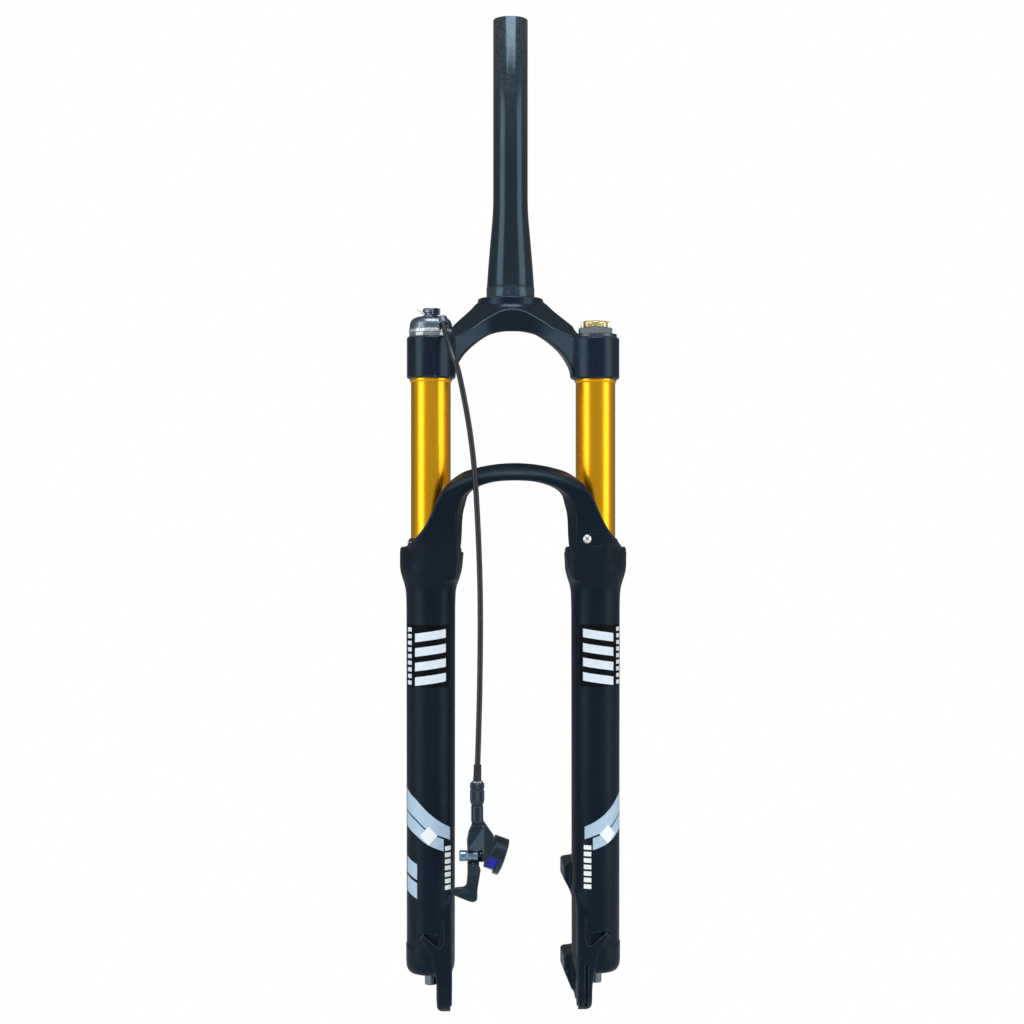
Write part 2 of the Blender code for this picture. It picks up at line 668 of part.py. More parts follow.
def piston_ring(name, finish, side, bottom, top, groove):
    """The ring in a piston's groove, sliding on the stanchion's bore."""
    middle = (bottom + top) / 2
    half = groove / 2 - CLEARANCE
    inner = PISTON_RADIUS - 2 + CLEARANCE
    ring(name, finish, inner, STANCHION_BORE - RUNNING, middle - half, middle + half, leg_axis(side), SIDES)


def shafts_and_pistons():
    shaft("damper_shaft", -1, -344.0)
    piston("rebound_piston", "steel", -1, -361.0, -347.0, 6.0)
    piston_ring("piston_glide_ring", "polymer", -1, -361.0, -347.0, 6.0)
    shaft("air_shaft", 1, -344.0)
    piston("air_piston", "polymer", 1, -363.0, -347.0, 5.0)
    piston_ring("air_piston_seal", "rubber", 1, -363.0, -347.0, 5.0)


def guide_outline(gap):
    """The hose guide's recess, drawn in by a gap: round at the bolt's end and straight at the other."""
    x, z = GUIDE_BOLT
    reach = GUIDE_HALF_HEIGHT - gap
    return arc((x, z), reach, 90, 270, 8) + [(GUIDE_END - gap, z - reach), (GUIDE_END - gap, z + reach)]


def hose_guide_recess():
    """Cutters for the recess in the arch's front and for the bolt's hole in its floor."""
    x, z = GUIDE_BOLT
    recess = prism("recess", "cast_black", guide_outline(0), ARCH_FRONT - 6, GUIDE_FLOOR, "Y")
    hole = rod("bolt_hole", "cast_black", straight((x, ARCH_FRONT, z), (x, GUIDE_FLOOR + 5.5, z)), 2.8, 16)
    return [recess, hole]


def hose_guide():
    """A flush plate that clamps the brake hose in the arch's recess, with its button-head bolt."""
    x, z = GUIDE_BOLT
    back = GUIDE_FLOOR - CLEARANCE
    front = back - GUIDE_THICKNESS
    plate = prism("hose_guide", "cast_black", guide_outline(CLEARANCE), front, back, "Y")
    hole = rod("hole", "cast_black", straight((x, front - 3, z), (x, back + 3, z)), 2.8, 16)
    combine(plate, "DIFFERENCE", [hole])
    seat = front - 0.1
    bolt = rod("hose_guide_bolt", "steel", straight((x, seat, z), (x, GUIDE_FLOOR + 5, z)), 2.4, 16)
    head = loft("head", "steel", [
        [(x + r * math.cos(a), y, z + r * math.sin(a)) for a in [math.tau * i / 16 for i in range(16)]]
        for r, y in ((3.4, seat), (3.3, seat - 1.0), (2.5, seat - 1.9))
    ])
    combine(bolt, "UNION", [head])
    socket = rod("socket", "steel", straight((x, seat - 5, z), (x, seat - 0.6, z)), 1.5, 6)
    combine(bolt, "DIFFERENCE", [socket])


# ---------------------------------------------------------------- cable and remote


def cable():
    """The housing with a ferrule in the lockout's stop and a boot at the remote."""
    start, end = Vector(CABLE_POINTS[0]), Vector(CABLE_POINTS[1])
    housing_start = start.lerp(end, 0.33)
    rod("cable_housing", "rubber", smooth_path([housing_start] + list(CABLE_POINTS[1:]), 4), CABLE_RADIUS, 8)
    pipe("upper_ferrule", "steel", straight(start.lerp(end, 0.28), start.lerp(end, 0.68)), 2.45, 2.85)
    boot_end = (REMOTE[0], REMOTE[1], REMOTE[2] + 0.7)
    boot_top = (REMOTE[0] + 0.35, REMOTE[1] + 0.9, REMOTE[2] + 14.0)
    pipe("lower_ferrule", "dark_grey", straight(boot_top, boot_end), 2.7, 3.3)


def barrel_adjuster():
    """Knurled barrel; its origin is on the cable's axis."""
    def knurl(radius, angle):
        return 0.2 * math.cos(12 * angle) if radius > 5.2 else 0

    lathe("barrel_adjuster", "dark_grey", [
        (1.0, 0.4), (4.8, 0.4), (5.4, -0.6), (5.4, -13.5), (4.6, -17.0), (2.2, -17.2), (2.2, -24.0), (1.0, -24.0),
    ], REMOTE, SMALL_SIDES, knurl)


def remote_place(point):
    """A point in the remote's own millimetres, as a place in the fork's."""
    return Vector(REMOTE) + Vector(point)


def clamp_place(along, out_y, up):
    """A point given along the clamp's bore, along Y and up, in the object's frame."""
    turn = Matrix.Rotation(CLAMP_ROLL, 3, "Y")
    return Vector(CLAMP_CENTRE) + turn @ Vector((along, out_y, up))


def remote_body():
    """Faceted housing with the handlebar clamp, a pivot ear and pockets for the button and the barrel."""
    outline = [
        (-3.8, -18.0), (3.6, -18.0), (4.0, -28.0), (12.6, -40.0), (13.6, -50.0), (7.6, -61.8),
        (-7.4, -61.8), (-7.8, -44.0), (-4.0, -33.0),
    ]
    body = prism("remote_body", "dark_grey", outline, REMOTE_FRONT, REMOTE_BACK, "Y", REMOTE)
    band = rod("band", "dark_grey", [clamp_place(-CLAMP_HALF_WIDTH, 0, 0), clamp_place(CLAMP_HALF_WIDTH, 0, 0)],
               CLAMP_OUTER, SIDES)
    ears = loft("ears", "dark_grey", [
        [clamp_place(u, v, w) for v, w in ((8, -5), (18.8, -5), (18.8, 5), (8, 5))] for u in (-4.5, 4.5)
    ])
    x, _, z = LEVER_PIVOT
    ear = prism("ear", "dark_grey", [(x - 5, z + 6), (x + 5, z + 6), (x + 4.5, z - 4), (x - 4.5, z - 4)],
                3.2, REMOTE_BACK - 0.2, "Y", REMOTE)
    combine(body, "UNION", [band, ears, ear])
    bar = rod("bar", "dark_grey", [clamp_place(-16, 0, 0), clamp_place(16, 0, 0)], CLAMP_BORE, SIDES)
    split = loft("split", "dark_grey", [
        [clamp_place(u, v, w) for v, w in ((9, -0.8), (20, -0.8), (20, 0.8), (9, 0.8))] for u in (-9, 9)
    ])
    screw = rod("screw", "dark_grey", [clamp_place(0, CLAMP_BOLT_OUT, -9), clamp_place(0, CLAMP_BOLT_OUT, 9)],
                1.8, 12)
    button_x, _, button_z = BUTTON_PLACE
    pocket = straight((button_x - 9, 0, button_z), (button_x + 5.5, 0, button_z))
    button = rod("button", "dark_grey", pocket, 4.5, 20, REMOTE)
    thread = rod("thread", "dark_grey", straight((0, 0, -10), (0, 0, -27)), 2.5, 16, REMOTE)
    pin = rod("pin", "dark_grey", straight((x, 0, z), (x, 10, z)), 1.8, 12, REMOTE)
    combine(body, "DIFFERENCE", [bar, split, screw, button, thread, pin])


def clamp_bolt():
    bolt = rod("clamp_bolt", "steel", [clamp_place(0, CLAMP_BOLT_OUT, -5.2), clamp_place(0, CLAMP_BOLT_OUT, 5.4)], 1.5, 12)
    head = rod("head", "steel", [clamp_place(0, CLAMP_BOLT_OUT, 5.3), clamp_place(0, CLAMP_BOLT_OUT, 7.6)], 2.6, 12)
    combine(bolt, "UNION", [head])


def lever_paddle():
    """Thumb lever; its origin is on the pivot."""
    outline = [
        (-4.6, 0.5), (-2.4, 3.0), (3.2, 3.4), (5.6, -1.0), (3.0, -16.0), (2.8, -24.4), (-1.9, -26.0),
        (-16.0, -20.0), (-16.8, -16.0), (-5.6, -13.6),
    ]
    lever = prism("lever_paddle", "dark_grey", outline, -3.2, 2.9, "Y", remote_place(LEVER_PIVOT))
    hole = rod("hole", "dark_grey", straight((0, -6, 0), (0, 6, 0)), 1.9, 16, remote_place(LEVER_PIVOT))
    combine(lever, "DIFFERENCE", [hole])


def lever_pivot_bolt():
    pivot = remote_place(LEVER_PIVOT)
    bolt = rod("lever_pivot_bolt", "steel", straight((0, -3.6, 0), (0, 5.0, 0)), 1.5, 16, pivot)
    head = rod("head", "steel", straight((0, -5.0, 0), (0, -3.5, 0)), 3.0, 16, pivot)
    combine(bolt, "UNION", [head])


def release_button():
    """Push button that slides into the remote along X."""
    profile = ((3.4, -12.0), (4.2, -11.2), (4.2, 1.8), (3.8, 2.2))
    rings = [
        [(x, r * math.cos(math.tau * i / 20), r * math.sin(math.tau * i / 20)) for i in range(20)]
        for r, x in profile
    ]
    loft("release_button", "button_blue", rings, remote_place(BUTTON_PLACE))


def main():
    remove_everything()
    steerer_tube()
    crown()
    stanchions()
    damper_top()
    lockout_return_spring()
    spool_parts()
    compression_valve()
    air_top()
    valve_core()
    air_valve_cap()
    seal_heads()
    lower_casting()
    leg_linings()
    feet()
    shafts_and_pistons()
    hose_guide()
    cable()
    barrel_adjuster()
    remote_body()
    clamp_bolt()
    lever_paddle()
    lever_pivot_bolt()
    release_button()


main()
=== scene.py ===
"""Looks of the suspension fork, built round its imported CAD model.

Shapes are worked out in millimetres in the fork's own frame and are scaled to metres when a mesh is made.
Cast pieces are distance functions: their parts are blended as a foundry would, and surface() turns the
result into one closed mesh. Turned, bent and flat pieces are made directly.
"""
import math

import bmesh
import bpy
import numpy as np
from mathutils import Matrix, Vector


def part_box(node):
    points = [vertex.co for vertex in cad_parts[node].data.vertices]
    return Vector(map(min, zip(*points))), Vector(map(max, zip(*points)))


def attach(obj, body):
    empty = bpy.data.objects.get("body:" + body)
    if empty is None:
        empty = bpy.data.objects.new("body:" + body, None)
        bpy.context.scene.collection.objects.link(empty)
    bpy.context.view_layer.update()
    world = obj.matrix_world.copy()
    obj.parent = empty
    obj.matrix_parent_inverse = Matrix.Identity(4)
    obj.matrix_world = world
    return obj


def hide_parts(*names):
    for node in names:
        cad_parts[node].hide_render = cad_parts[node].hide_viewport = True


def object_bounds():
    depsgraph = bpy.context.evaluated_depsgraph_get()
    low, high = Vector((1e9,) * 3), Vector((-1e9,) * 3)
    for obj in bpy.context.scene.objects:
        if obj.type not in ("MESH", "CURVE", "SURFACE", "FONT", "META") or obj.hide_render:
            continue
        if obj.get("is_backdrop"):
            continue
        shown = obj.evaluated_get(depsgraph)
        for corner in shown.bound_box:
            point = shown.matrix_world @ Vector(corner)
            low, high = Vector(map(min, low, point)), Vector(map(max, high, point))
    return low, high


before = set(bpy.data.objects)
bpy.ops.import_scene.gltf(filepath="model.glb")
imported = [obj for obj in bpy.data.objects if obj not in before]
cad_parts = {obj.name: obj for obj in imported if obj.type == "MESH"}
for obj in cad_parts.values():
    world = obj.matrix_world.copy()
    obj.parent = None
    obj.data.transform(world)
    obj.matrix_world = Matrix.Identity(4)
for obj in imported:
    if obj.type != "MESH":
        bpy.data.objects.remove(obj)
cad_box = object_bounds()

MM = 0.001
FINE = 96            # sides of a large turned piece
SMALL = 48           # sides of a small one


# ---------------- sizes read from the frame


def span(node):
    """A CAD node's lowest and highest corner, in millimetres."""
    low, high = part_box(node)
    return low / MM, high / MM


def middle(node):
    low, high = span(node)
    return (low + high) / 2


STANCHION_LOW, STANCHION_HIGH = span("stanchion_right")
LEG_X = middle("stanchion_right").x
LEG_Y = middle("stanchion_right").y
STANCHION_RADIUS = 16.0
STANCHION_BORE = 14.0
CAST_LOW, CAST_HIGH = span("lower_casting")
CROWN_LOW, CROWN_HIGH = span("crown")
BOSS_RADIUS = CROWN_HIGH.x - LEG_X
BOSS_BOTTOM = CROWN_LOW.z
BOSS_TOP = BOSS_BOTTOM + 34.0
LEG_TOP = span("wiper_seal_right")[0].z + 8.0
LEG_FLOOR = -536.0
FOOT_END = -546.1
FLARE_RADIUS = CAST_HIGH.x - LEG_X
LEG_RADIUS = 19.6
BUSH_BORE = 17.3
FOOT_BORE = 14.5
ARCH_TOP = CAST_HIGH.z
ARCH_FRONT = CAST_LOW.y
ARCH_BACK = ARCH_FRONT + 15.5
AXLE = (LEG_Y - 6.0, CAST_LOW.z + 15.0)
STEERER_LOW, STEERER_HIGH = span("steerer_tube")
GUIDE_BOLT = middle("hose_guide_bolt")
LOCKOUT_AXIS = (-LEG_X, LEG_Y)
AIR_AXIS = (LEG_X, LEG_Y)
BOTH_LEGS = ((-1, "left"), (1, "right"))


# ---------------- small mathematics


def smooth_curve(points, steps=8):
    """Catmull-Rom points through the given ones."""
    points = [np.array(p, float) for p in points]
    ends = [2 * points[0] - points[1]] + points + [2 * points[-1] - points[-2]]
    curve = []
    for before, start, end, after in zip(ends, ends[1:], ends[2:], ends[3:]):
        for i in range(steps):
            t = i / steps
            curve.append(0.5 * (
                2 * start
                + (end - before) * t
                + (2 * before - 5 * start + 4 * end - after) * t ** 2
                + (3 * start - before - 3 * end + after) * t ** 3
            ))
    curve.append(points[-1])
    return [tuple(p) for p in curve]


def profile(points):
    """A smooth function of one variable through (input, output) points."""
    curve = np.array(smooth_curve(points))
    return lambda value: np.interp(value, curve[:, 0], curve[:, 1])


def below(top, points):
    """Points given as (across, drop from the top), as (across, height)."""
    return [(across, top - drop) for across, drop in points]


def profile_below(top, points):
    """A smooth function of height through (drop from the top, output) points."""
    return profile([(top - drop, output) for drop, output in points])


def arc(centre, radius, start, end, steps=16):
    """Points on an arc, angles in degrees."""
    angles = np.radians(np.linspace(start, end, steps + 1))
    return [(centre[0] + radius * math.cos(a), centre[1] + radius * math.sin(a)) for a in angles]


def smooth_step(value, low, high):
    t = np.clip((value - low) / (high - low), 0, 1)
    return t * t * (3 - 2 * t)


def outline_distance(u, v, outline):
    """Signed distance in a plane to a closed outline, negative inside."""
    nearest = 1e9
    inside = False
    for (au, av), (bu, bv) in zip(outline, outline[1:] + outline[:1]):
        du = bu - au
        dv = bv - av
        along = np.clip(((u - au) * du + (v - av) * dv) / max(du * du + dv * dv, 1e-9), 0, 1)
        nearest = np.minimum(nearest, np.hypot(u - au - along * du, v - av - along * dv))
        crossed = ((av > v) != (bv > v)) & (u < au + (v - av) * du / (dv if abs(dv) > 1e-9 else 1e-9))
        inside = inside ^ crossed
    return np.where(inside, -nearest, nearest)


def join(a, b, radius):
    """Union of two distances with a fillet."""
    h = np.clip(0.5 + 0.5 * (b - a) / radius, 0, 1)
    return b + (a - b) * h - radius * h * (1 - h)


def common(a, b, radius):
    """Intersection of two distances with a rounded edge."""
    return -join(-a, -b, radius)


def cut(a, b, radius):
    """Distance a with b taken away, and a rounded edge."""
    return common(a, -b, radius)


def slab(value, low, high):
    return np.maximum(low - value, value - high)


def rod_distance(x, y, z, start, end, radius):
    """Distance to a flat-ended round bar."""
    start = np.array(start, float)
    axis = np.array(end, float) - start
    length = np.linalg.norm(axis)
    axis /= length
    px, py, pz = x - start[0], y - start[1], z - start[2]
    along = px * axis[0] + py * axis[1] + pz * axis[2]
    away = np.sqrt((px - along * axis[0]) ** 2 + (py - along * axis[1]) ** 2 + (pz - along * axis[2]) ** 2)
    return np.maximum(away - radius, slab(along, 0, length))


# ---------------- meshes


def place_object(name, data):
    obj = bpy.data.objects.new(name, data)
    bpy.context.scene.collection.objects.link(obj)
    return obj


def new_mesh_object(name, points, faces, sharp=None):
    """An object from points in millimetres."""
    mesh = bpy.data.meshes.new(name)
    mesh.from_pydata(np.asarray(points) * MM, [], faces)
    mesh.update()
    mesh.shade_smooth()
    if sharp:
        mesh.set_sharp_from_angle(angle=math.radians(sharp))
    return place_object(name, mesh)


def face_out(obj):
    """Turns the faces outwards."""
    bm = bmesh.new()
    bm.from_mesh(obj.data)
    bmesh.ops.recalc_face_normals(bm, faces=bm.faces)
    bm.to_mesh(obj.data)
    bm.free()
    return obj


def block_quads(inside, first, strides):
    """The four cells round each grid edge that crosses the surface, in one block."""
    found = []
    own = inside[:-1, :-1, :-1]
    ahead = (inside[1:, :-1, :-1], inside[:-1, 1:, :-1], inside[:-1, :-1, 1:])
    for axis, other in enumerate(ahead):
        crossing = np.argwhere(own != other)
        if not len(crossing):
            continue
        leaving = own[tuple(crossing.T)]
        corner = (crossing + first) @ strides
        u = strides[(axis + 1) % 3]
        v = strides[(axis + 2) % 3]
        ring = np.stack([corner - u - v, corner - v, corner, corner - u], axis=1)
        found.append(np.where(leaving[:, None], ring, ring[:, ::-1]))
    return found


def surface(name, shape, low, high, cell):
    """One closed mesh where shape(x, y, z) is zero: grid cells on the surface, drawn onto it."""
    block = 16
    low = np.array(low, float) - 2 * cell
    counts = np.ceil((np.array(high) + 2 * cell - low) / (cell * block)).astype(int)
    size = counts * block + 1
    strides = np.array([size[1] * size[2], size[2], 1])
    quads = []
    for index in np.ndindex(*counts):
        first = np.array(index) * block
        centre = low + (first + block / 2) * cell
        if abs(float(shape(*centre))) > 1.4 * block * cell:
            continue
        x, y, z = (low[k] + (first[k] + np.arange(block + 1)) * cell for k in range(3))
        values = shape(x[:, None, None], y[None, :, None], z[None, None, :])
        inside = np.broadcast_to(values, (block + 1,) * 3) < 0
        if inside.any() and not inside.all():
            quads += block_quads(inside, first, strides)
    quads = np.concatenate(quads)
    cells, faces = np.unique(quads, return_inverse=True)
    corner = np.stack([cells // strides[0], cells % strides[0] // strides[1], cells % strides[1]], axis=1)
    points = low + (corner + 0.5) * cell
    home = points.copy()
    probe = 0.08 * cell
    for _ in range(4):
        value = shape(*points.T)
        slope = np.stack([
            (shape(*(points + probe * np.eye(3)[k]).T) - value) / probe for k in range(3)
        ], axis=1)
        points = points - slope * (value / np.maximum((slope ** 2).sum(axis=1), 0.05))[:, None]
        points = home + np.clip(points - home, -0.95 * cell, 0.95 * cell)
    return new_mesh_object(name, points, faces.reshape(-1, 4).tolist())


def turned(name, outline, centre=(0, 0, 0), sides=FINE, sharp=40, wave=None, axis=None):
    """A piece turned about Z, or about another axis. Radius 0 in the outline stands for a flat middle."""
    points = []
    rings = []
    for radius, z in outline:
        if radius == 0:
            rings.append([len(points)])
            points.append((0, 0, z))
            continue
        rings.append(list(range(len(points), len(points) + sides)))
        for i in range(sides):
            angle = math.tau * i / sides
            reach = radius + (wave(radius, z, angle) if wave else 0)
            points.append((reach * math.cos(angle), reach * math.sin(angle), z))
    faces = []
    for first, second in zip(rings, rings[1:] + rings[:1]):
        if len(first) == 1 and len(second) == 1:
            continue
        for i in range(sides):
            j = (i + 1) % sides
            near = [first[i % len(first)], first[j % len(first)]]
            far = [second[j % len(second)], second[i % len(second)]]
            faces.append(list(dict.fromkeys(near + far)))
    points = np.array(points)
    if axis is not None:
        turn = Vector((0, 0, 1)).rotation_difference(Vector(axis)).to_matrix()
        points = points @ np.array(turn).T
    return face_out(new_mesh_object(name, points + np.array(centre), faces, sharp))


def hexagon(angle, turn=math.pi / 6):
    """How far a hexagon reaches at an angle, as a share of its corners' reach."""
    within = (angle + turn) % (math.pi / 3) - math.pi / 6
    return math.cos(math.pi / 6) / math.cos(within)


def hex_socket(radius):
    """A wave that turns the ring of a socket's radius into a hexagon."""
    def wave(reach, z, angle):
        return radius * (hexagon(angle) - 1) if abs(reach - radius) <= 0.01 else 0
    return wave


def rounded(outline, radius, steps=3):
    """The outline with its corners away from the axis rounded off."""
    result = []
    count = len(outline)
    for i, corner in enumerate(outline):
        here = Vector(corner)
        before = Vector(outline[i - 1]) - here
        after = Vector(outline[(i + 1) % count]) - here
        if corner[0] == 0 or before.length < 1e-6 or after.length < 1e-6:
            result.append(tuple(corner))
            continue
        reach = min(radius, before.length * 0.45, after.length * 0.45)
        start = here + before.normalized() * reach
        end = here + after.normalized() * reach
        for s in range(steps + 1):
            t = s / steps
            result.append(tuple(start * (1 - t) ** 2 + here * 2 * t * (1 - t) + end * t ** 2))
    return result


def path_frames(path):
    """Square directions along a path, without twist."""
    path = [Vector(p) for p in path]
    last = len(path) - 1
    side = None
    for i, point in enumerate(path):
        tangent = (path[min(i + 1, last)] - path[max(i - 1, 0)]).normalized()
        side = tangent.orthogonal() if side is None else side - tangent * side.dot(tangent)
        side.normalize()
        yield point, side, tangent.cross(side)


def swept(name, path, radii, sides=20, inner=None):
    """A round bar or tube along a path; radii is one radius or one for each point."""
    frames = list(path_frames(path))
    radii = [radii] * len(frames) if np.isscalar(radii) else list(radii)
    loops = [(frame_, radius) for frame_, radius in zip(frames, radii)]
    if inner:
        loops += [(frame_, inner) for frame_ in frames[::-1]]
    points = []
    for (point, side, other), radius in loops:
        for i in range(sides):
            angle = math.tau * i / sides
            points.append(point + (side * math.cos(angle) + other * math.sin(angle)) * radius)
    faces = []
    bands = len(loops) if inner else len(loops) - 1
    for band in range(bands):
        a = band * sides
        b = (band + 1) % len(loops) * sides
        faces += [[a + i, a + (i + 1) % sides, b + (i + 1) % sides, b + i] for i in range(sides)]
    if not inner:
        faces += [list(range(sides)), list(range(a + sides, a + 2 * sides))]
    return face_out(new_mesh_object(name, [tuple(p) for p in points], faces, 50))


def finish_piece(obj, body, material, slot, *nodes):
    """Rides a piece on its body, gives it its material, and hides the CAD nodes it stands for; the slot
    argument is not used.
    """
    obj.data.materials.clear()
    obj.data.materials.append(material)
    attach(obj, body)
    if nodes:
        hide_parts(*nodes)
    return obj


# ---------------- materials


class Nodes:
    """A material's node tree, with short calls for the nodes used here."""

    def __init__(self, name, colour, roughness, metallic=0.0):
        self.material = bpy.data.materials.new(name)
        self.material.use_nodes = True
        self.tree = self.material.node_tree
        self.shader = self.tree.nodes["Principled BSDF"]
        self.shader.inputs["Metallic"].default_value = metallic
        self.colour = self.rgb(colour)
        self.roughness = roughness
        self.coordinates = self.node("ShaderNodeTexCoord").outputs["Object"]

    def node(self, kind, **settings):
        made = self.tree.nodes.new(kind)
        for key, value in settings.items():
            setattr(made, key, value)
        return made

    def link(self, source, target):
        self.tree.links.new(source, target)

    def rgb(self, colour):
        made = self.node("ShaderNodeRGB")
        made.outputs[0].default_value = (*colour, 1)
        return made.outputs[0]

    def stretched(self, scale):
        mapping = self.node("ShaderNodeMapping")
        mapping.inputs["Scale"].default_value = scale
        self.link(self.coordinates, mapping.inputs["Vector"])
        return mapping.outputs["Vector"]

    def noise(self, scale, detail=4.0, vector=None):
        made = self.node("ShaderNodeTexNoise")
        made.inputs["Scale"].default_value = scale
        made.inputs["Detail"].default_value = detail
        self.link(vector or self.coordinates, made.inputs["Vector"])
        return made.outputs["Fac"]

    def ramp(self, value, low, high, low_out=0.0, high_out=1.0):
        made = self.node("ShaderNodeMapRange")
        made.inputs["From Min"].default_value = low
        made.inputs["From Max"].default_value = high
        made.inputs["To Min"].default_value = low_out
        made.inputs["To Max"].default_value = high_out
        self.link(value, made.inputs["Value"])
        return made.outputs["Result"]

    def mix(self, share, colour):
        """Mixes a colour over the present one by a share."""
        made = self.node("ShaderNodeMix", data_type="RGBA")
        self.link(share, made.inputs[0])
        self.link(self.colour, made.inputs[6])
        made.inputs[7].default_value = (*colour, 1)
        self.colour = made.outputs[2]

    def product(self, a, b):
        made = self.node("ShaderNodeMath", operation="MULTIPLY")
        self.link(a, made.inputs[0])
        self.link(b, made.inputs[1])
        return made.outputs[0]

    def edges(self, low, high):
        """1 along convex edges, 0 elsewhere: the mask for worn edges and painted edge highlights."""
        point = self.node("ShaderNodeNewGeometry").outputs["Pointiness"]
        return self.ramp(point, low, high)

    def bump(self, height, distance, strength=1.0):
        made = self.node("ShaderNodeBump")
        made.inputs["Distance"].default_value = distance
        made.inputs["Strength"].default_value = strength
        self.link(height, made.inputs["Height"])
        if self.shader.inputs["Normal"].is_linked:
            self.link(self.shader.inputs["Normal"].links[0].from_socket, made.inputs["Normal"])
        self.link(made.outputs["Normal"], self.shader.inputs["Normal"])

    def done(self, rough_noise=None, spread=0.06):
        self.link(self.colour, self.shader.inputs["Base Color"])
        if rough_noise is None:
            self.shader.inputs["Roughness"].default_value = self.roughness
        else:
            varied = self.ramp(rough_noise, 0.3, 0.7, self.roughness - spread, self.roughness + spread)
            self.link(varied, self.shader.inputs["Roughness"])
        return self.material


def satin_paint(name, colour, roughness, grain, specular, wear_and_highlight=(0.075, 0.098, 0.128)):
    """Sprayed satin paint: orange peel, faint cloudiness, and convex edges lightened, partly rubbed paint and
    partly a painted highlight.
    """
    m = Nodes(name, colour, roughness)
    cloud = m.noise(28, 3)
    m.mix(m.ramp(cloud, 0.35, 0.75, 0.0, 0.35), tuple(1.7 * c for c in colour))
    # Lighter convex edges broken up by noise: partly rubbed paint, partly painted highlights along the edges.
    edge_breakup = m.noise(420, 5)
    m.mix(m.product(m.edges(0.52, 0.60), m.ramp(edge_breakup, 0.40, 0.62, 0.25, 0.8)), wear_and_highlight)
    m.bump(m.noise(grain, 2), 0.00002)
    m.bump(m.noise(grain * 6, 2), 0.000004)
    m.shader.inputs["Specular IOR Level"].default_value = specular
    m.shader.inputs["Specular Tint"].default_value = (0.50, 0.78, 1.0, 1)
    return m.done(m.noise(90, 4))


def turned_metal(name, colour, roughness, stretch=(40, 40, 2600), wear_and_highlight=None):
    """Metal with fine lathe lines round Z."""
    m = Nodes(name, colour, roughness, 1.0)
    lines = m.noise(1.0, 3, m.stretched(stretch))
    m.mix(m.ramp(m.noise(60, 3), 0.35, 0.7, 0.0, 0.25), tuple(0.75 * c for c in colour))
    # Convex edges take a lighter colour: worn metal and a painted highlight along the edges.
    if wear_and_highlight:
        m.mix(m.edges(0.54, 0.62), wear_and_highlight)
    m.bump(lines, 0.000006)
    return m.done(lines, 0.05)


def dyed_tube(name, colour, roughness):
    """Dyed anodising on a ground tube: faint grinding lines, soft dye patches and a sealed glossy skin."""
    m = Nodes(name, colour, roughness, 1.0)
    lines = m.noise(1.0, 3, m.stretched((60, 60, 5200)))
    patches = m.noise(24, 4)
    m.mix(m.ramp(patches, 0.35, 0.7, 0.0, 0.2), tuple(0.8 * c for c in colour))
    m.bump(lines, 0.0000008)
    m.shader.inputs["Coat Weight"].default_value = 0.3
    m.shader.inputs["Coat Roughness"].default_value = 0.2
    return m.done(patches, 0.02)


def cast_rubber(name, colour, roughness, grain=900):
    """Moulded elastomer: fine pitting and dusty patches."""
    m = Nodes(name, colour, roughness)
    m.mix(m.ramp(m.noise(70, 4), 0.45, 0.75, 0.0, 0.4), (0.035, 0.037, 0.04))
    m.bump(m.noise(grain, 3), 0.00005)
    m.shader.inputs["Specular IOR Level"].default_value = 0.35
    return m.done(m.noise(200, 3), 0.08)


def filled_polymer(name, colour, roughness):
    """Filled bearing polymer with a faint moulded grain."""
    m = Nodes(name, colour, roughness)
    m.mix(m.ramp(m.noise(350, 4), 0.5, 0.7, 0.0, 0.5), tuple(1.8 * c for c in colour))
    m.bump(m.noise(1500, 2), 0.00002)
    return m.done(m.noise(150, 3))


def open_foam(name):
    """Oiled open-cell foam."""
    m = Nodes(name, (0.42, 0.36, 0.22), 0.85)
    cells = m.node("ShaderNodeTexVoronoi")
    cells.inputs["Scale"].default_value = 1400
    m.link(m.coordinates, cells.inputs["Vector"])
    m.mix(m.ramp(cells.outputs["Distance"], 0.0, 0.5, 0.7, 0.0), (0.16, 0.12, 0.06))
    m.bump(cells.outputs["Distance"], 0.0003)
    return m.done(m.noise(300, 3))


def decal_film(name, colour, roughness=0.34, specular=0.4):
    """Printed vinyl under the paint's clear coat, with a faint print grain."""
    m = Nodes(name, colour, roughness)
    m.mix(m.ramp(m.noise(240, 4), 0.4, 0.75, 0.0, 0.22), tuple(0.72 * c for c in colour))
    m.bump(m.noise(1200, 2), 0.00001)
    m.shader.inputs["Specular IOR Level"].default_value = specular
    return m.done(m.noise(120, 3))


def extruded_liner(name):
    """Smooth extruded cable liner with a faint grain and paler patches."""
    m = Nodes(name, (0.008, 0.012, 0.018), 0.3)
    m.mix(m.ramp(m.noise(220, 3), 0.45, 0.7, 0.0, 0.5), (0.02, 0.026, 0.034))
    m.bump(m.noise(1.0, 2, m.stretched((300, 300, 900))), 0.00004)
    return m.done(m.noise(300, 3))


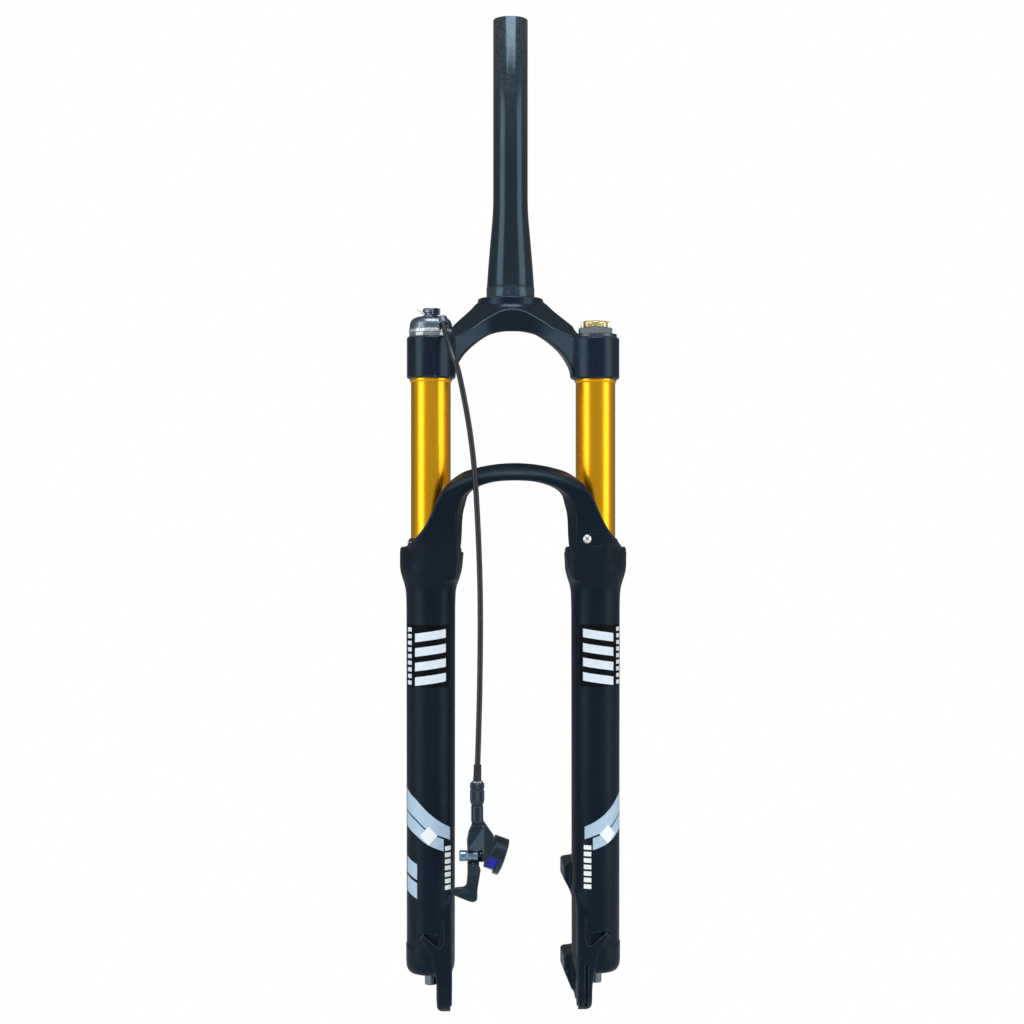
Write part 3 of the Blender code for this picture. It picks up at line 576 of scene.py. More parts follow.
PAINT = satin_paint("cast_satin_black", (0.0022, 0.0046, 0.0100), 0.40, 700, 0.26)
CROWN_PAINT = satin_paint("forged_satin_black", (0.0022, 0.0046, 0.0100), 0.27, 900, 0.45)
STEERER_PAINT = satin_paint("steerer_satin_black", (0.0035, 0.0055, 0.0080), 0.17, 1100, 0.75)
DARK = satin_paint("dark_grey_satin", (0.0050, 0.0075, 0.0115), 0.22, 1400, 0.75, (0.08, 0.09, 0.10))
HEX_DARK = turned_metal("dark_grey_anodised", (0.10, 0.11, 0.13), 0.34, wear_and_highlight=(0.4, 0.42, 0.45))
GOLD = dyed_tube("gold_anodised_tube", (1.0, 0.47, 0.004), 0.28)
GOLD_CAP = turned_metal("gold_anodised_cap", (0.82, 0.68, 0.36), 0.24, (900, 900, 1800), (1.0, 0.93, 0.72))
SILVER = turned_metal("bright_silver", (0.84, 0.89, 0.94), 0.30, (700, 700, 2600), (0.95, 0.96, 0.98))
GREY = turned_metal("grey_blue_anodised", (0.17, 0.215, 0.265), 0.30, (500, 500, 2600), (0.6, 0.66, 0.72))
BLUE = turned_metal("silver_blue_anodised", (0.20, 0.29, 0.40), 0.28, (2600, 300, 300), (0.5, 0.6, 0.7))
DARK_STEEL = turned_metal("dark_steel", (0.20, 0.23, 0.27), 0.34, (700, 700, 2600), wear_and_highlight=(0.5, 0.52, 0.55))
STEEL = turned_metal("turned_steel", (0.60, 0.61, 0.63), 0.26, (700, 700, 2600), wear_and_highlight=(0.85, 0.86, 0.88))
BRASS = turned_metal("turned_brass", (0.66, 0.46, 0.17), 0.28, (700, 700, 2600))
RUBBER = cast_rubber("seal_rubber", (0.010, 0.011, 0.013), 0.55)
BUMPER = cast_rubber("bumper_rubber", (0.02, 0.02, 0.022), 0.65, 500)
POLYMER = filled_polymer("bearing_polymer", (0.045, 0.055, 0.065), 0.5)
FOAM = open_foam("oil_foam")
LINER = extruded_liner("cable_liner")
VIOLET = turned_metal("violet_anodised", (0.035, 0.035, 0.40), 0.22, (900, 900, 900))
WHITE_FILM = decal_film("white_film", (0.74, 0.82, 0.90))
SILVER_FILM = decal_film("silver_blue_film", (0.46, 0.61, 0.76))
BRIGHT_FILM = decal_film("bright_white_film", (0.94, 0.98, 0.97))
BLACK_FILM = decal_film("matt_black_film", (0.0009, 0.0014, 0.0026), 0.55, 0.10)


# ---------------- lower casting

LEG_PROFILE = (
    below(LEG_TOP, [(-40.0, 0), (FLARE_RADIUS - 1.3, 0), (FLARE_RADIUS - 0.2, 1.2)])
    + smooth_curve(below(LEG_TOP, [
        (FLARE_RADIUS, 4), (FLARE_RADIUS, 16), (FLARE_RADIUS - 1.3, 23), (LEG_RADIUS + 1.7, 30),
        (LEG_RADIUS + 0.4, 37), (LEG_RADIUS, 50),
    ]), 4)
    + smooth_curve([
        (LEG_RADIUS - 0.3, FOOT_END + 11), (LEG_RADIUS - 0.9, FOOT_END + 5),
        (LEG_RADIUS - 3.2, FOOT_END + 1.3), (LEG_RADIUS - 6.5, FOOT_END),
    ], 4)
    + [(-40.0, FOOT_END)]
)

LEG_HOLLOW = [
    (-40.0, LEG_TOP + 50), (20.9, LEG_TOP + 50), (20.9, LEG_TOP - 8.3), (19.5, LEG_TOP - 8.3),
    (19.5, LEG_TOP - 16.6), (BUSH_BORE, LEG_TOP - 16.6), (BUSH_BORE, -500), (FOOT_BORE, -504),
    (FOOT_BORE, LEG_FLOOR), (4.4, LEG_FLOOR), (4.4, FOOT_END + 0.6), (6.8, FOOT_END + 0.6),
    (6.8, FOOT_END - 14), (-40.0, FOOT_END - 14),
]

ARCH_OUTER = smooth_curve(below(ARCH_TOP, [
    (-20, 1.7), (0, 0), (20, 1.7), (38.4, 6.2), (48.5, 12), (55, 18), (61.5, 28), (66, 38.5), (72.4, 51),
    (79.4, 60), (85.5, 66.5),
]), 5) + below(ARCH_TOP, [(87.5, 72), (84.5, 81), (77, 89), (66, 93), (-20, 93)])
ARCH_WINDOW = smooth_curve(below(ARCH_TOP, [
    (-15, 14.6), (0, 14.0), (15, 14.8), (27, 17.6), (36, 21.5), (42.5, 27), (46, 35.5), (47.6, 45),
    (48.4, 62), (51, 80), (56, 96), (62, 116),
]), 5) + below(ARCH_TOP, [(-15, 130)])

arch_reach = profile_below(ARCH_TOP, [
    (125, 13.0), (104, 15.0), (93, 19.5), (85, 24.0), (76, 28.8), (66, 32.6), (54, 35.2), (42, 36.0),
    (-10, 36.0),
])
arch_limit = profile_below(ARCH_TOP, [(93, 66.0), (89, 77.0), (81, 84.5), (72, 87.5)])
arch_ridge = profile(below(ARCH_TOP, [
    (-10, 12.6), (0, 12.4), (18, 13.2), (36.6, 17.2), (54.8, 25), (64, 33), (74, 46), (95, 80),
]))
collar_radius = profile_below(LEG_TOP, [
    (50, LEG_RADIUS), (37, LEG_RADIUS + 0.4), (30, LEG_RADIUS + 1.7), (23, FLARE_RADIUS - 1.3),
    (16, FLARE_RADIUS), (0, FLARE_RADIUS),
])
SUNK = 3.0           # how far the arch's faded edge lies under the leg's surface

GUIDE_HALF = 5.2
GUIDE_LENGTH = 13.5
GUIDE_RECESS = arc((GUIDE_BOLT.x, GUIDE_BOLT.z), GUIDE_HALF, 90, 270) + [
    (GUIDE_BOLT.x + GUIDE_LENGTH, GUIDE_BOLT.z - GUIDE_HALF),
    (GUIDE_BOLT.x + GUIDE_LENGTH, GUIDE_BOLT.z + GUIDE_HALF),
]

DROPOUT = (
    smooth_curve([(-51.5, -482), (-58.2, -498), (-60.8, -514), (-61.3, -550)], 4)
    + arc(AXLE, 15.0, 180, 360)
    + smooth_curve([(-30.5, -548), (-24, -532), (-22, -515), (-30, -482)], 4)
)
AXLE_SLOT = arc(AXLE, 4.7, 0, 180) + [(AXLE[0] - 5.2, AXLE[1] - 22), (AXLE[0] + 5.2, AXLE[1] - 22)]

GUSSET = [
    (52, -515), (60.5, -522.5), (73.6, -511.6), (76.0, -514.0), (66.0, -527.5), (63, -546), (61, -556),
    (51, -556),
]
POCKET = [(60.4, -513.5), (73.2, -511.2), (61.6, -521.8)]
POSTS = ((-467.5, 17.5), (-541.7, 21.0))    # each brake post's height and how far it tapers down
POST_SCREW_X = 49.25


def arch_front(ax, z):
    """Where the arch's front lies: it rolls back over the top and fades into the leg at its lower edge."""
    outside = np.maximum(ax - LEG_X, 0)
    shown = np.maximum(smooth_step(arch_limit(z) - ax, 0, 16), smooth_step(z, LEG_TOP - 5, LEG_TOP + 4))
    collar = collar_radius(z)
    reach = collar - SUNK + (arch_reach(z) - collar + SUNK) * shown
    front = LEG_Y - np.sqrt(np.maximum(reach ** 2 - outside ** 2, 4.0))
    above = np.maximum(z - arch_ridge(ax), 0)
    return front + 12.0 * (above / 12.6) ** 2


def arch_shape(ax, y, z):
    body = outline_distance(ax, z, ARCH_OUTER)
    lean = 0.42 * np.clip(y - ARCH_FRONT, 0, 20) * (1 - smooth_step(z, ARCH_TOP - 34, ARCH_TOP - 10))
    window = outline_distance(ax + lean, z, ARCH_WINDOW)
    body = cut(body, window, 2.2)
    body = common(body, 0.8 * (arch_front(ax, z) - y), 1.6)
    back = np.where(z > LEG_TOP - 4, ARCH_BACK, ARCH_BACK + 14)
    return common(body, y - back, 2.5)


def leg_shape(ax, y, z):
    """A leg, a little thicker below the slanting edge of its foot."""
    radius = np.hypot(ax - LEG_X, y - LEG_Y)
    foot_line = -521 - 0.62 * np.clip(LEG_X + LEG_RADIUS - ax, 0, 60)
    foot = 0.55 * smooth_step(foot_line - z, 0, 1.4)
    return outline_distance(radius - foot, z, LEG_PROFILE)


def dropout_shape(ax, y, z):
    """The axle plate, its rib up the leg and the triangular web beside it."""
    outer = 57.6 + 4.4 * smooth_step(-z, 514, 536) - 3.6 * np.clip((-569.5 - z) / 7, 0, 1) ** 2
    plate = common(outline_distance(y, z, DROPOUT), np.maximum(50.0 - ax, 0.95 * (ax - outer)), 2.0)
    web = common(outline_distance(ax, z, GUSSET), slab(y, -61.0, -45.0), 1.4)
    both = join(plate, web, 2.0)
    lip = np.maximum(z - (AXLE[1] - 8), ax - 51.2)
    return np.maximum(both, -np.maximum(lip, -(AXLE[1] - 8 - z)))


def post_shape(x, y, z):
    """The two brake posts behind the +X leg, each tapering down into it."""
    found = None
    for mid, taper in POSTS:
        side = below(mid, [(-34, -11), (-8, -9), (4, -8), (4, 8), (-8, 15), (-34, taper + 4)])
        front = below(mid, [(57, -9), (43.2, -6.6), (41.5, -5.0), (41.5, 6.6), (47.5, taper), (57, 26)])
        post = common(outline_distance(y, z, side), outline_distance(x, z, front), 1.8)
        hole = np.hypot(x - POST_SCREW_X, z - mid) - 2.6
        post = cut(post, np.maximum(hole, -10 - y), 0.6)
        found = post if found is None else np.minimum(found, post)
    return found


def lower_shape(x, y, z):
    ax = np.abs(x)
    body = join(leg_shape(ax, y, z), arch_shape(ax, y, z), 6.0)
    body = join(body, dropout_shape(ax, y, z), 2.6)
    body = join(body, post_shape(x, y, z), 4.0)
    pocket = common(outline_distance(ax, z, POCKET), y + 55.9, 0.6)
    body = cut(body, pocket, 0.8)
    slot = np.maximum(outline_distance(y, z, AXLE_SLOT), slab(ax, 40, 66))
    body = cut(body, slot, 0.7)
    front_edge = np.maximum(-1.8 - outline_distance(y, z, DROPOUT), y + 50)
    groove = np.maximum(slab(x, 56.4, 58.2), np.maximum(front_edge, slab(z, -571, -538)))
    body = cut(body, groove, 0.6)
    guide = np.maximum(outline_distance(x, z, GUIDE_RECESS), y - (arch_front(ax, z) + 1.0))
    body = cut(body, guide, 0.4)
    hollow = outline_distance(np.hypot(ax - LEG_X, y - LEG_Y), z, LEG_HOLLOW)
    return cut(body, hollow, 0.8)


def lower_casting():
    skin = surface("lower_casting_skin", lower_shape, CAST_LOW, CAST_HIGH, 1.0)
    finish_piece(skin, "lowers", PAINT, "cast_black", "lower_casting")


# ---------------- crown

CROWN_TOP = smooth_curve([
    (-20, -2.5), (0, -2.2), (22, -2.6), (28.5, -5.0), (33.5, -10.5), (40, -17), (46, -23), (51, -28.5),
    (57, -34), (64, -38.5),
], 4) + [(66, -40)]
CROWN_VAULT = smooth_curve([
    (-20, -31.0), (0, -29.6), (10, -30.2), (18.3, -32.3), (25, -36.0), (32.5, -41.8), (39, -48.2),
    (43.6, -55), (46.8, -62), (47.6, -68),
], 4) + [(47, -110), (-20, -110)]
CROWN_OUTLINE = CROWN_TOP + [(66, -67.5), (-20, -67.5)]

crown_front = profile([
    (-10, -31.3), (0, -31.0), (15, -32.6), (30, -38.5), (45, -47.5), (58, -55.0), (70, -58.0),
])
crown_back = profile([(-10, 4), (0, 4), (20, -1), (35, -11), (50, -21), (62, -26), (70, -27)])
crown_ridge = profile([
    (-8, -12.4), (0, -11.2), (8, -12.4), (15, -15.8), (25.5, -22.3), (33, -28), (48, -35), (70, -41),
])

CREASE = 1.0         # how softly the crown's front folds back
HUB_PROFILE = [(-30, 0), (26.2, 0), (27.0, -0.8), (27.0, -40), (-30, -40)]
BOSS_PROFILE = [
    (-30, BOSS_TOP), (BOSS_RADIUS - 1.3, BOSS_TOP), (BOSS_RADIUS, BOSS_TOP - 1.4),
    (BOSS_RADIUS, BOSS_BOTTOM + 1.2), (BOSS_RADIUS - 1.0, BOSS_BOTTOM), (-30, BOSS_BOTTOM),
]


def crown_shape(x, y, z):
    ax = np.abs(x)
    arms = outline_distance(ax, z, CROWN_OUTLINE)
    rise = z - crown_ridge(ax)
    above = 0.5 * (rise + np.sqrt(rise ** 2 + CREASE ** 2))
    front = crown_front(ax) + 1.25 * above
    arms = common(arms, 0.62 * (front - y), 1.3)
    arms = common(arms, y - crown_back(ax), 2.6)
    body = join(arms, outline_distance(np.hypot(x, y), z, HUB_PROFILE), 3.0)
    vault = 0.13 * np.clip(y + 31, 0, 60)
    body = cut(body, outline_distance(ax, z - vault, CROWN_VAULT), 1.8)
    leg = np.hypot(ax - LEG_X, y - LEG_Y)
    body = join(body, outline_distance(leg, z, BOSS_PROFILE), 3.0)
    bore = np.hypot(x, y) - 19.6
    body = cut(body, bore, 0.8)
    body = cut(body, leg - 16.3, 0.8)
    return cut(body, np.maximum(leg - 17.8, BOSS_TOP - 2 - z), 0.5)


def crown():
    skin = surface("crown_skin", crown_shape, CROWN_LOW, CROWN_HIGH, 0.8)
    finish_piece(skin, "upper", CROWN_PAINT, "cast_black", "crown")


# ---------------- tubes and seals


def steerer():
    top = STEERER_HIGH.z
    low = STEERER_LOW.z
    outer = smooth_curve([(19.6, 9.4), (18.1, 30), (16.4, 50), (15.0, 66), (14.4, 78), (14.3, 92)], 5)
    race = [(11.5, low + 3), (18.4, low + 3), (19.3, low + 3.9), (19.3, 0.3), (19.9, 0.3), (19.9, 8.9)]
    outline = race + outer + [(14.3, top - 0.6), (13.8, top), (11.9, top), (11.5, top - 0.4)]
    finish_piece(turned("steerer_skin", outline), "upper", STEERER_PAINT, "black_alloy", "steerer_tube")


def stanchions():
    for side, word in BOTH_LEGS:
        low = STANCHION_LOW.z
        shoulder = BOSS_BOTTOM - 0.3
        outline = [
            (STANCHION_BORE, STANCHION_HIGH.z), (STANCHION_BORE, low + 0.6), (STANCHION_BORE + 0.4, low),
            (STANCHION_RADIUS - 0.6, low), (STANCHION_RADIUS, low + 0.6), (STANCHION_RADIUS, shoulder - 2.5),
            (STANCHION_RADIUS + 0.7, shoulder - 2.2), (STANCHION_RADIUS + 1, shoulder - 1.8),
            (STANCHION_RADIUS + 1, shoulder), (STANCHION_RADIUS, shoulder),
            (STANCHION_RADIUS, STANCHION_HIGH.z),
        ]
        tube = turned(f"stanchion_{word}_skin", outline, (side * LEG_X, LEG_Y, 0), 128)
        finish_piece(tube, "upper", GOLD, "gold_anodised", f"stanchion_{word}")


def coil_ring(name, centre, radius, wire, turns):
    """A garter spring: a fine coil bent into a ring."""
    steps = turns * 8
    path = []
    for i in range(steps):
        around = math.tau * i / steps
        twist = math.tau * turns * i / steps
        reach = radius + wire * math.cos(twist)
        path.append((reach * math.cos(around), reach * math.sin(around), wire * math.sin(twist)))
    ring = np.array(path)
    normal = np.roll(ring, -1, axis=0) - np.roll(ring, 1, axis=0)
    normal /= np.linalg.norm(normal, axis=1)[:, None]
    side = np.cross(normal, (0.0, 0.0, 1.0))
    side /= np.linalg.norm(side, axis=1)[:, None]
    other = np.cross(normal, side)
    sides = 5
    points = []
    for i in range(sides):
        angle = math.tau * i / sides
        points.append(ring + (side * math.cos(angle) + other * math.sin(angle)) * wire * 0.45)
    points = np.stack(points, axis=1).reshape(-1, 3) + np.array(centre)
    faces = []
    for k in range(steps):
        a = k * sides
        b = (k + 1) % steps * sides
        faces += [[a + i, a + (i + 1) % sides, b + (i + 1) % sides, b + i] for i in range(sides)]
    return face_out(new_mesh_object(name, points, faces))


def wiper_seals():
    """Double-lip wipers pressed into the legs, each with its garter spring."""
    for side, word in BOTH_LEGS:
        low, high = span(f"wiper_seal_{word}")
        centre = (side * LEG_X, LEG_Y, 0)
        body = [
            (16.12, low.z), (20.5, low.z), (20.5, LEG_TOP + 0.3), (19.6, LEG_TOP + 0.9),
            (18.7, LEG_TOP + 1.2), (18.6, high.z - 4.5), (17.8, high.z - 4.2), (17.7, high.z - 2.9),
            (18.3, high.z - 2.6), (17.6, high.z - 1.0), (16.6, high.z), (16.12, high.z),
        ]
        seal = turned(f"wiper_seal_{word}_skin", rounded(body, 0.35), centre, 128, 60)
        finish_piece(seal, "lowers", RUBBER, "rubber", f"wiper_seal_{word}")
        height = middle(f"garter_spring_{word}").z
        spring = coil_ring(f"garter_spring_{word}_skin", (*centre[:2], height), 18.45, 0.42, 110)
        finish_piece(spring, "lowers", STEEL, "steel", f"garter_spring_{word}")


# ---------------- crown tops


STOP_MOUTH = Vector((-57.5, -51.1, -21.25))
STOP_TIP = Vector((-56.76, -55.0, -26.06))


def lock_ring():
    low, high = span("lock_ring")

    def notch(radius, z, angle):
        return -0.5 * (math.cos(12 * angle) > 0.86) if radius > 17 else 0

    outline = rounded([(13.0, low.z), (17.6, low.z), (17.6, high.z), (13.0, high.z)], 0.35)
    ring = turned("lock_ring_skin", outline, (*LOCKOUT_AXIS, 0), 144, 40, notch)
    finish_piece(ring, "upper", SILVER, "steel", "lock_ring")


def lockout_dome():
    """The dome with the cable's stop on its side."""
    low, high = span("lockout_housing")
    outline = [(3.3, high.z), (9.8, high.z - 0.3)] + smooth_curve([
        (11.6, high.z - 0.8), (14.2, high.z - 2.0), (16.0, high.z - 4.0), (16.9, high.z - 6.4),
        (17.2, -28.2),
    ], 4) + [(17.3, -29.1), (14.2, -29.1), (12.5, -22.8), (3.3, -22.0)]
    along = (STOP_TIP - STOP_MOUTH).normalized()

    def shape(x, y, z):
        radius = np.hypot(x - LOCKOUT_AXIS[0], y - LOCKOUT_AXIS[1])
        body = outline_distance(radius, z, outline)
        body = join(body, rod_distance(x, y, z, STOP_MOUTH, STOP_TIP, 3.9), 1.2)
        ridge = common(slab(np.abs(radius - 10.3), -1, 0.45), slab(z, high.z - 3, high.z + 0.2), 0.3)
        body = cut(body, ridge, 0.3)
        bore = rod_distance(x, y, z, STOP_MOUTH - along * 8, STOP_TIP + along * 8, 3.1)
        return cut(body, bore, 0.4)

    dome = surface("lockout_housing_skin", shape, low, high, 0.35)
    finish_piece(dome, "upper", GREY, "grey_anodised", "lockout_housing")


def cable_spool():
    low, high = span("cable_spool")
    outline = rounded([
        (3.3, low.z), (6.6, low.z), (6.6, -18.2), (5.0, -17.8), (5.0, -16.4), (6.6, -16.0),
        (6.6, high.z - 0.9), (5.8, high.z), (2.2, high.z), (2.0, high.z - 0.7), (0, high.z - 0.7),
        (0, -13.8), (3.3, -13.8),
    ], 0.3)
    spool = turned("cable_spool_skin", outline, (*LOCKOUT_AXIS, 0), 72, 35)
    finish_piece(spool, "spool", GREY, "grey_anodised", "cable_spool")


def spool_lug():
    """The block on the spool's rim that holds the pinch bolt."""
    axis_x, axis_y = LOCKOUT_AXIS

    def shape(x, y, z):
        px, py = x - axis_x, y - axis_y
        lug = common(slab(px, 0.6, 7.4), slab(py, -8.7, -4.6), 1.4)
        lug = common(lug, slab(z, -18.1, -12.9), 0.7)
        return cut(lug, np.hypot(px - 4, z + 15.2) - 1.85, 0.3)

    low = (axis_x + 0.5, axis_y - 9, -18.3)
    high = (axis_x + 7.6, axis_y - 4.4, -12.7)
    lug = surface("spool_lug", shape, low, high, 0.25)
    finish_piece(lug, "spool", GREY, "grey_anodised")


def pinch_bolt():
    outline = rounded([
        (0, -3.4), (1.5, -3.4), (1.5, -6.2), (2.3, -6.2), (2.3, -8.2), (1.25, -8.2), (1.25, -7.0), (0, -7.0),
    ], 0.2)
    place = (LOCKOUT_AXIS[0] + 4, LOCKOUT_AXIS[1] - 3.0, -15.2)
    bolt = turned("cable_pinch_bolt_skin", outline, place, SMALL, 30, hex_socket(1.25), (0, 1, 0))
    finish_piece(bolt, "spool", DARK, "dark_grey", "cable_pinch_bolt")


def cable_end():
    """The cut end of the inner cable, its strands a little frayed."""
    rng = np.random.default_rng(7)
    axis_x, axis_y = LOCKOUT_AXIS
    base = smooth_curve([(-5.2, -3.8, -17.1), (-7.3, -2.9, -16.2), (-9.6, -2.0, -14.2)], 6)
    strands = []
    for k in range(7):
        turn = math.tau * k / 6
        reach = 0.0 if k == 6 else 0.48
        path = []
        for i, (x, y, z) in enumerate(base):
            angle = turn + 0.5 * i
            path.append((axis_x + x, axis_y + y + reach * math.cos(angle), z + reach * math.sin(angle)))
        tip = np.array(path[-1])
        spread = rng.normal(0, 0.45, 3) + np.array([-0.9, 0.3, 1.4])
        path += [tuple(tip + spread * 0.5), tuple(tip + spread)]
        strands.append(swept(f"cable_strand_{k + 1}", path, 0.24, 8))
    finish_piece(strands[0], "spool", STEEL, "steel", "inner_cable")
    for strand in strands[1:]:
        finish_piece(strand, "spool", STEEL, "steel")


def air_cap():
    """Hexagon cap of the air spring."""
    corner = 26.0 / math.sqrt(3)

    def hexed(radius, z, angle):
        if radius < corner - 1.5 or z < -32.3:
            return 0
        return min(corner * hexagon(angle, math.pi / 2), radius) - radius

    outline = rounded([
        (4.3, -50), (12.7, -50), (13.7, -49), (13.7, -36), (17.3, -36), (17.3, -32.6), (16.8, -32.4),
        (corner, -32.2), (corner, -28.1), (13.4, -27.6), (4.3, -27.6),
    ], 0.25)
    cap = turned("air_top_cap_skin", outline, (*AIR_AXIS, 0), 144, 30, hexed)
    finish_piece(cap, "upper", HEX_DARK, "dark_grey", "air_top_cap")


def gold_cap():
    """Scalloped valve cap."""
    low, high = span("air_valve_cap")

    def scallops(radius, z, angle):
        if radius < 9.4:
            return 0
        lobe = abs(math.cos(4 * angle + 0.35))
        depth = 1.4 + 2.4 * (z - low.z) / (high.z - low.z)
        return -depth * max(0.0, 0.70 - lobe) / 0.70

    outline = rounded([
        (5.0, low.z), (11.9, low.z), (11.9, high.z - 1.1), (10.6, high.z - 0.1), (8.4, high.z),
        (7.6, high.z - 0.5), (3.4, high.z - 0.5), (2.9, high.z), (0, high.z), (0, high.z - 1.3),
        (5.0, high.z - 1.3),
    ], 0.3)
    cap = turned("air_valve_cap_skin", outline, (*AIR_AXIS, 0), 180, 35, scallops)
    finish_piece(cap, "valve_cap", GOLD_CAP, "gold_cap", "air_valve_cap")


# ---------------- small hardware


def foot_bolts():
    for side, word in BOTH_LEGS:
        low, high = span(f"foot_bolt_{word}")
        outline = rounded([
            (0, high.z), (3.6, high.z), (4.0, high.z - 0.5), (4.0, low.z + 8.2), (4.85, low.z + 8.2),
            (4.85, low.z + 0.5), (4.3, low.z), (2.6, low.z), (2.6, low.z + 3.8), (0, low.z + 3.8),
        ], 0.25)

        def socket(radius, z, angle):
            if radius > 2.7:
                return -0.12 * (math.cos(30 * angle) > 0) if radius > 4.7 else 0
            return 2.6 * (hexagon(angle) - 1) if radius > 2 else 0

        bolt = turned(f"foot_bolt_{word}_skin", outline, (side * LEG_X, LEG_Y, 0), 120, 35, socket)
        finish_piece(bolt, "lowers", DARK_STEEL, "steel", f"foot_bolt_{word}")


def hose_guide():
    """A flush plate in the arch's recess, with a button-head screw."""
    edge = [(GUIDE_BOLT.x + (x - GUIDE_BOLT.x) * 0.94, GUIDE_BOLT.z + (z - GUIDE_BOLT.z) * 0.90)
            for x, z in GUIDE_RECESS]

    def plate_shape(x, y, z):
        front = arch_front(np.abs(x), z)
        plate = common(outline_distance(x, z, edge), slab(y - front, 0.0, 0.85), 0.4)
        dish = np.hypot(x - GUIDE_BOLT.x, z - GUIDE_BOLT.z) - 4.6
        plate = cut(plate, np.maximum(dish, y - front - 0.45), 0.3)
        return cut(plate, np.hypot(x - GUIDE_BOLT.x, z - GUIDE_BOLT.z) - 2.6, 0.2)

    low = (GUIDE_BOLT.x - 7, ARCH_FRONT - 1, GUIDE_BOLT.z - 7)
    high = (GUIDE_BOLT.x + 19, ARCH_FRONT + 9, GUIDE_BOLT.z + 7)
    plate = surface("hose_guide_skin", plate_shape, low, high, 0.35)
    finish_piece(plate, "lowers", PAINT, "cast_black", "hose_guide")
    seat = float(arch_front(np.array(GUIDE_BOLT.x), np.array(GUIDE_BOLT.z))) + 0.45
    outline = [(0, -0.6), (2.4, -0.6), (2.4, 0.0), (3.75, 0.0)] + arc((0.2, 0.2), 3.55, 0, 62, 8)
    outline += [(1.5, 2.9), (1.5, 1.2), (0, 1.2)]
    flat = [(r, 0.62 * z) for r, z in outline]
    bolt = turned("hose_guide_bolt_skin", flat, (GUIDE_BOLT.x, seat, GUIDE_BOLT.z), 48, 35,
                  hex_socket(1.5), (0, -1, 0))
    finish_piece(bolt, "lowers", STEEL, "steel", "hose_guide_bolt")


# ---------------- cable and remote

REMOTE = middle("barrel_adjuster")
REMOTE.z = span("barrel_adjuster")[1].z - 0.4
STOP_START = Vector((-58.0, -48.5, -18.0))
STOP_END = Vector((-56.0, -59.0, -31.0))
BUTTON_DROP = 56.5
PIVOT_X = -2.9
PIVOT_Z = -66.0
LEVER_PIVOT = REMOTE + Vector((PIVOT_X, 0, PIVOT_Z))


def cable_line():
    """The housing's middle line between the lockout's stop and the remote."""
    return smooth_curve([
        STOP_START.lerp(STOP_END, 0.33), STOP_END, (-50.5, -77.5, -52.0), (-45.0, -81.8, -68.5),
        (-36.5, -81.5, -114.0), (-31.8, -81.5, -161.0), (-28.8, -84.0, -235.0), (-29.3, -91.5, -308.0),
        (REMOTE.x, REMOTE.y, REMOTE.z + 2.0),
    ], 10)


def cable():
    housing = swept("cable_housing_skin", cable_line(), 2.2, 24)
    finish_piece(housing, "upper", LINER, "rubber", "cable_housing")
    sleeve = [STOP_START.lerp(STOP_END, t) for t in (0.28, 0.30, 0.64, 0.68)]
    ferrule = swept("upper_ferrule_skin", sleeve, [2.6, 2.85, 2.85, 2.6], 28, 2.4)
    finish_piece(ferrule, "upper", DARK, "steel", "upper_ferrule")
    top = Vector((REMOTE.x + 0.35, REMOTE.y + 0.9, REMOTE.z + 14.0))
    foot = Vector((REMOTE.x, REMOTE.y, REMOTE.z + 0.7))
    stations = [0.0, 0.04, 0.10, 0.14, 0.5, 0.9, 0.96, 1.0]
    radii = [2.75, 3.1, 3.1, 2.95, 3.05, 3.2, 3.2, 2.9]
    boot = swept("lower_ferrule_skin", [top.lerp(foot, t) for t in stations], radii, 28, 2.4)
    finish_piece(boot, "upper", RUBBER, "dark_grey", "lower_ferrule")
    ring = rounded([(2.3, 0.45), (4.4, 0.45), (4.4, 1.3), (2.3, 1.3)], 0.25)
    collar = turned("barrel_collar", ring, REMOTE, SMALL)
    finish_piece(collar, "upper", STEEL, "steel")


def barrel():
    def knurl(radius, z, angle):
        return 0.16 * math.cos(24 * angle) if radius > 5.1 else 0

    outline = rounded([
        (1.0, 0.4), (4.6, 0.4), (5.45, -0.6), (5.45, -4.4), (5.0, -4.8), (5.0, -5.6), (5.45, -6.0),
        (5.45, -13.5), (4.6, -17.0), (2.2, -17.2), (2.2, -24.0), (1.0, -24.0),
    ], 0.25)
    piece = turned("barrel_adjuster_skin", outline, REMOTE, 144, 35, knurl)
    finish_piece(piece, "barrel", DARK, "dark_grey", "barrel_adjuster")


CLAMP = Vector((-16.0, -81.0, -445.0))
CLAMP_ROLL = math.radians(20)
CLAMP_BORE = 11.1
CLAMP_OUTER = 14.6


def clamp_axes():
    """Directions along the clamp's bore, back and up."""
    turn = Matrix.Rotation(CLAMP_ROLL, 3, "Y")
    return [turn @ Vector(v) for v in ((1, 0, 0), (0, 1, 0), (0, 0, 1))]


def clamp_local(x, y, z):
    axes = clamp_axes()
    px, py, pz = x - CLAMP.x, y - CLAMP.y, z - CLAMP.z
    return [px * a.x + py * a.y + pz * a.z for a in axes]


REMOTE_OUTLINE = [
    (-3.9, -17.8), (3.6, -17.8), (3.9, -28.0), (8.2, -34.5), (12.8, -41.0), (13.6, -50.0), (7.8, -61.6),
    (-7.2, -61.6), (-7.9, -45.0), (-6.6, -38.0), (-4.2, -33.0),
]


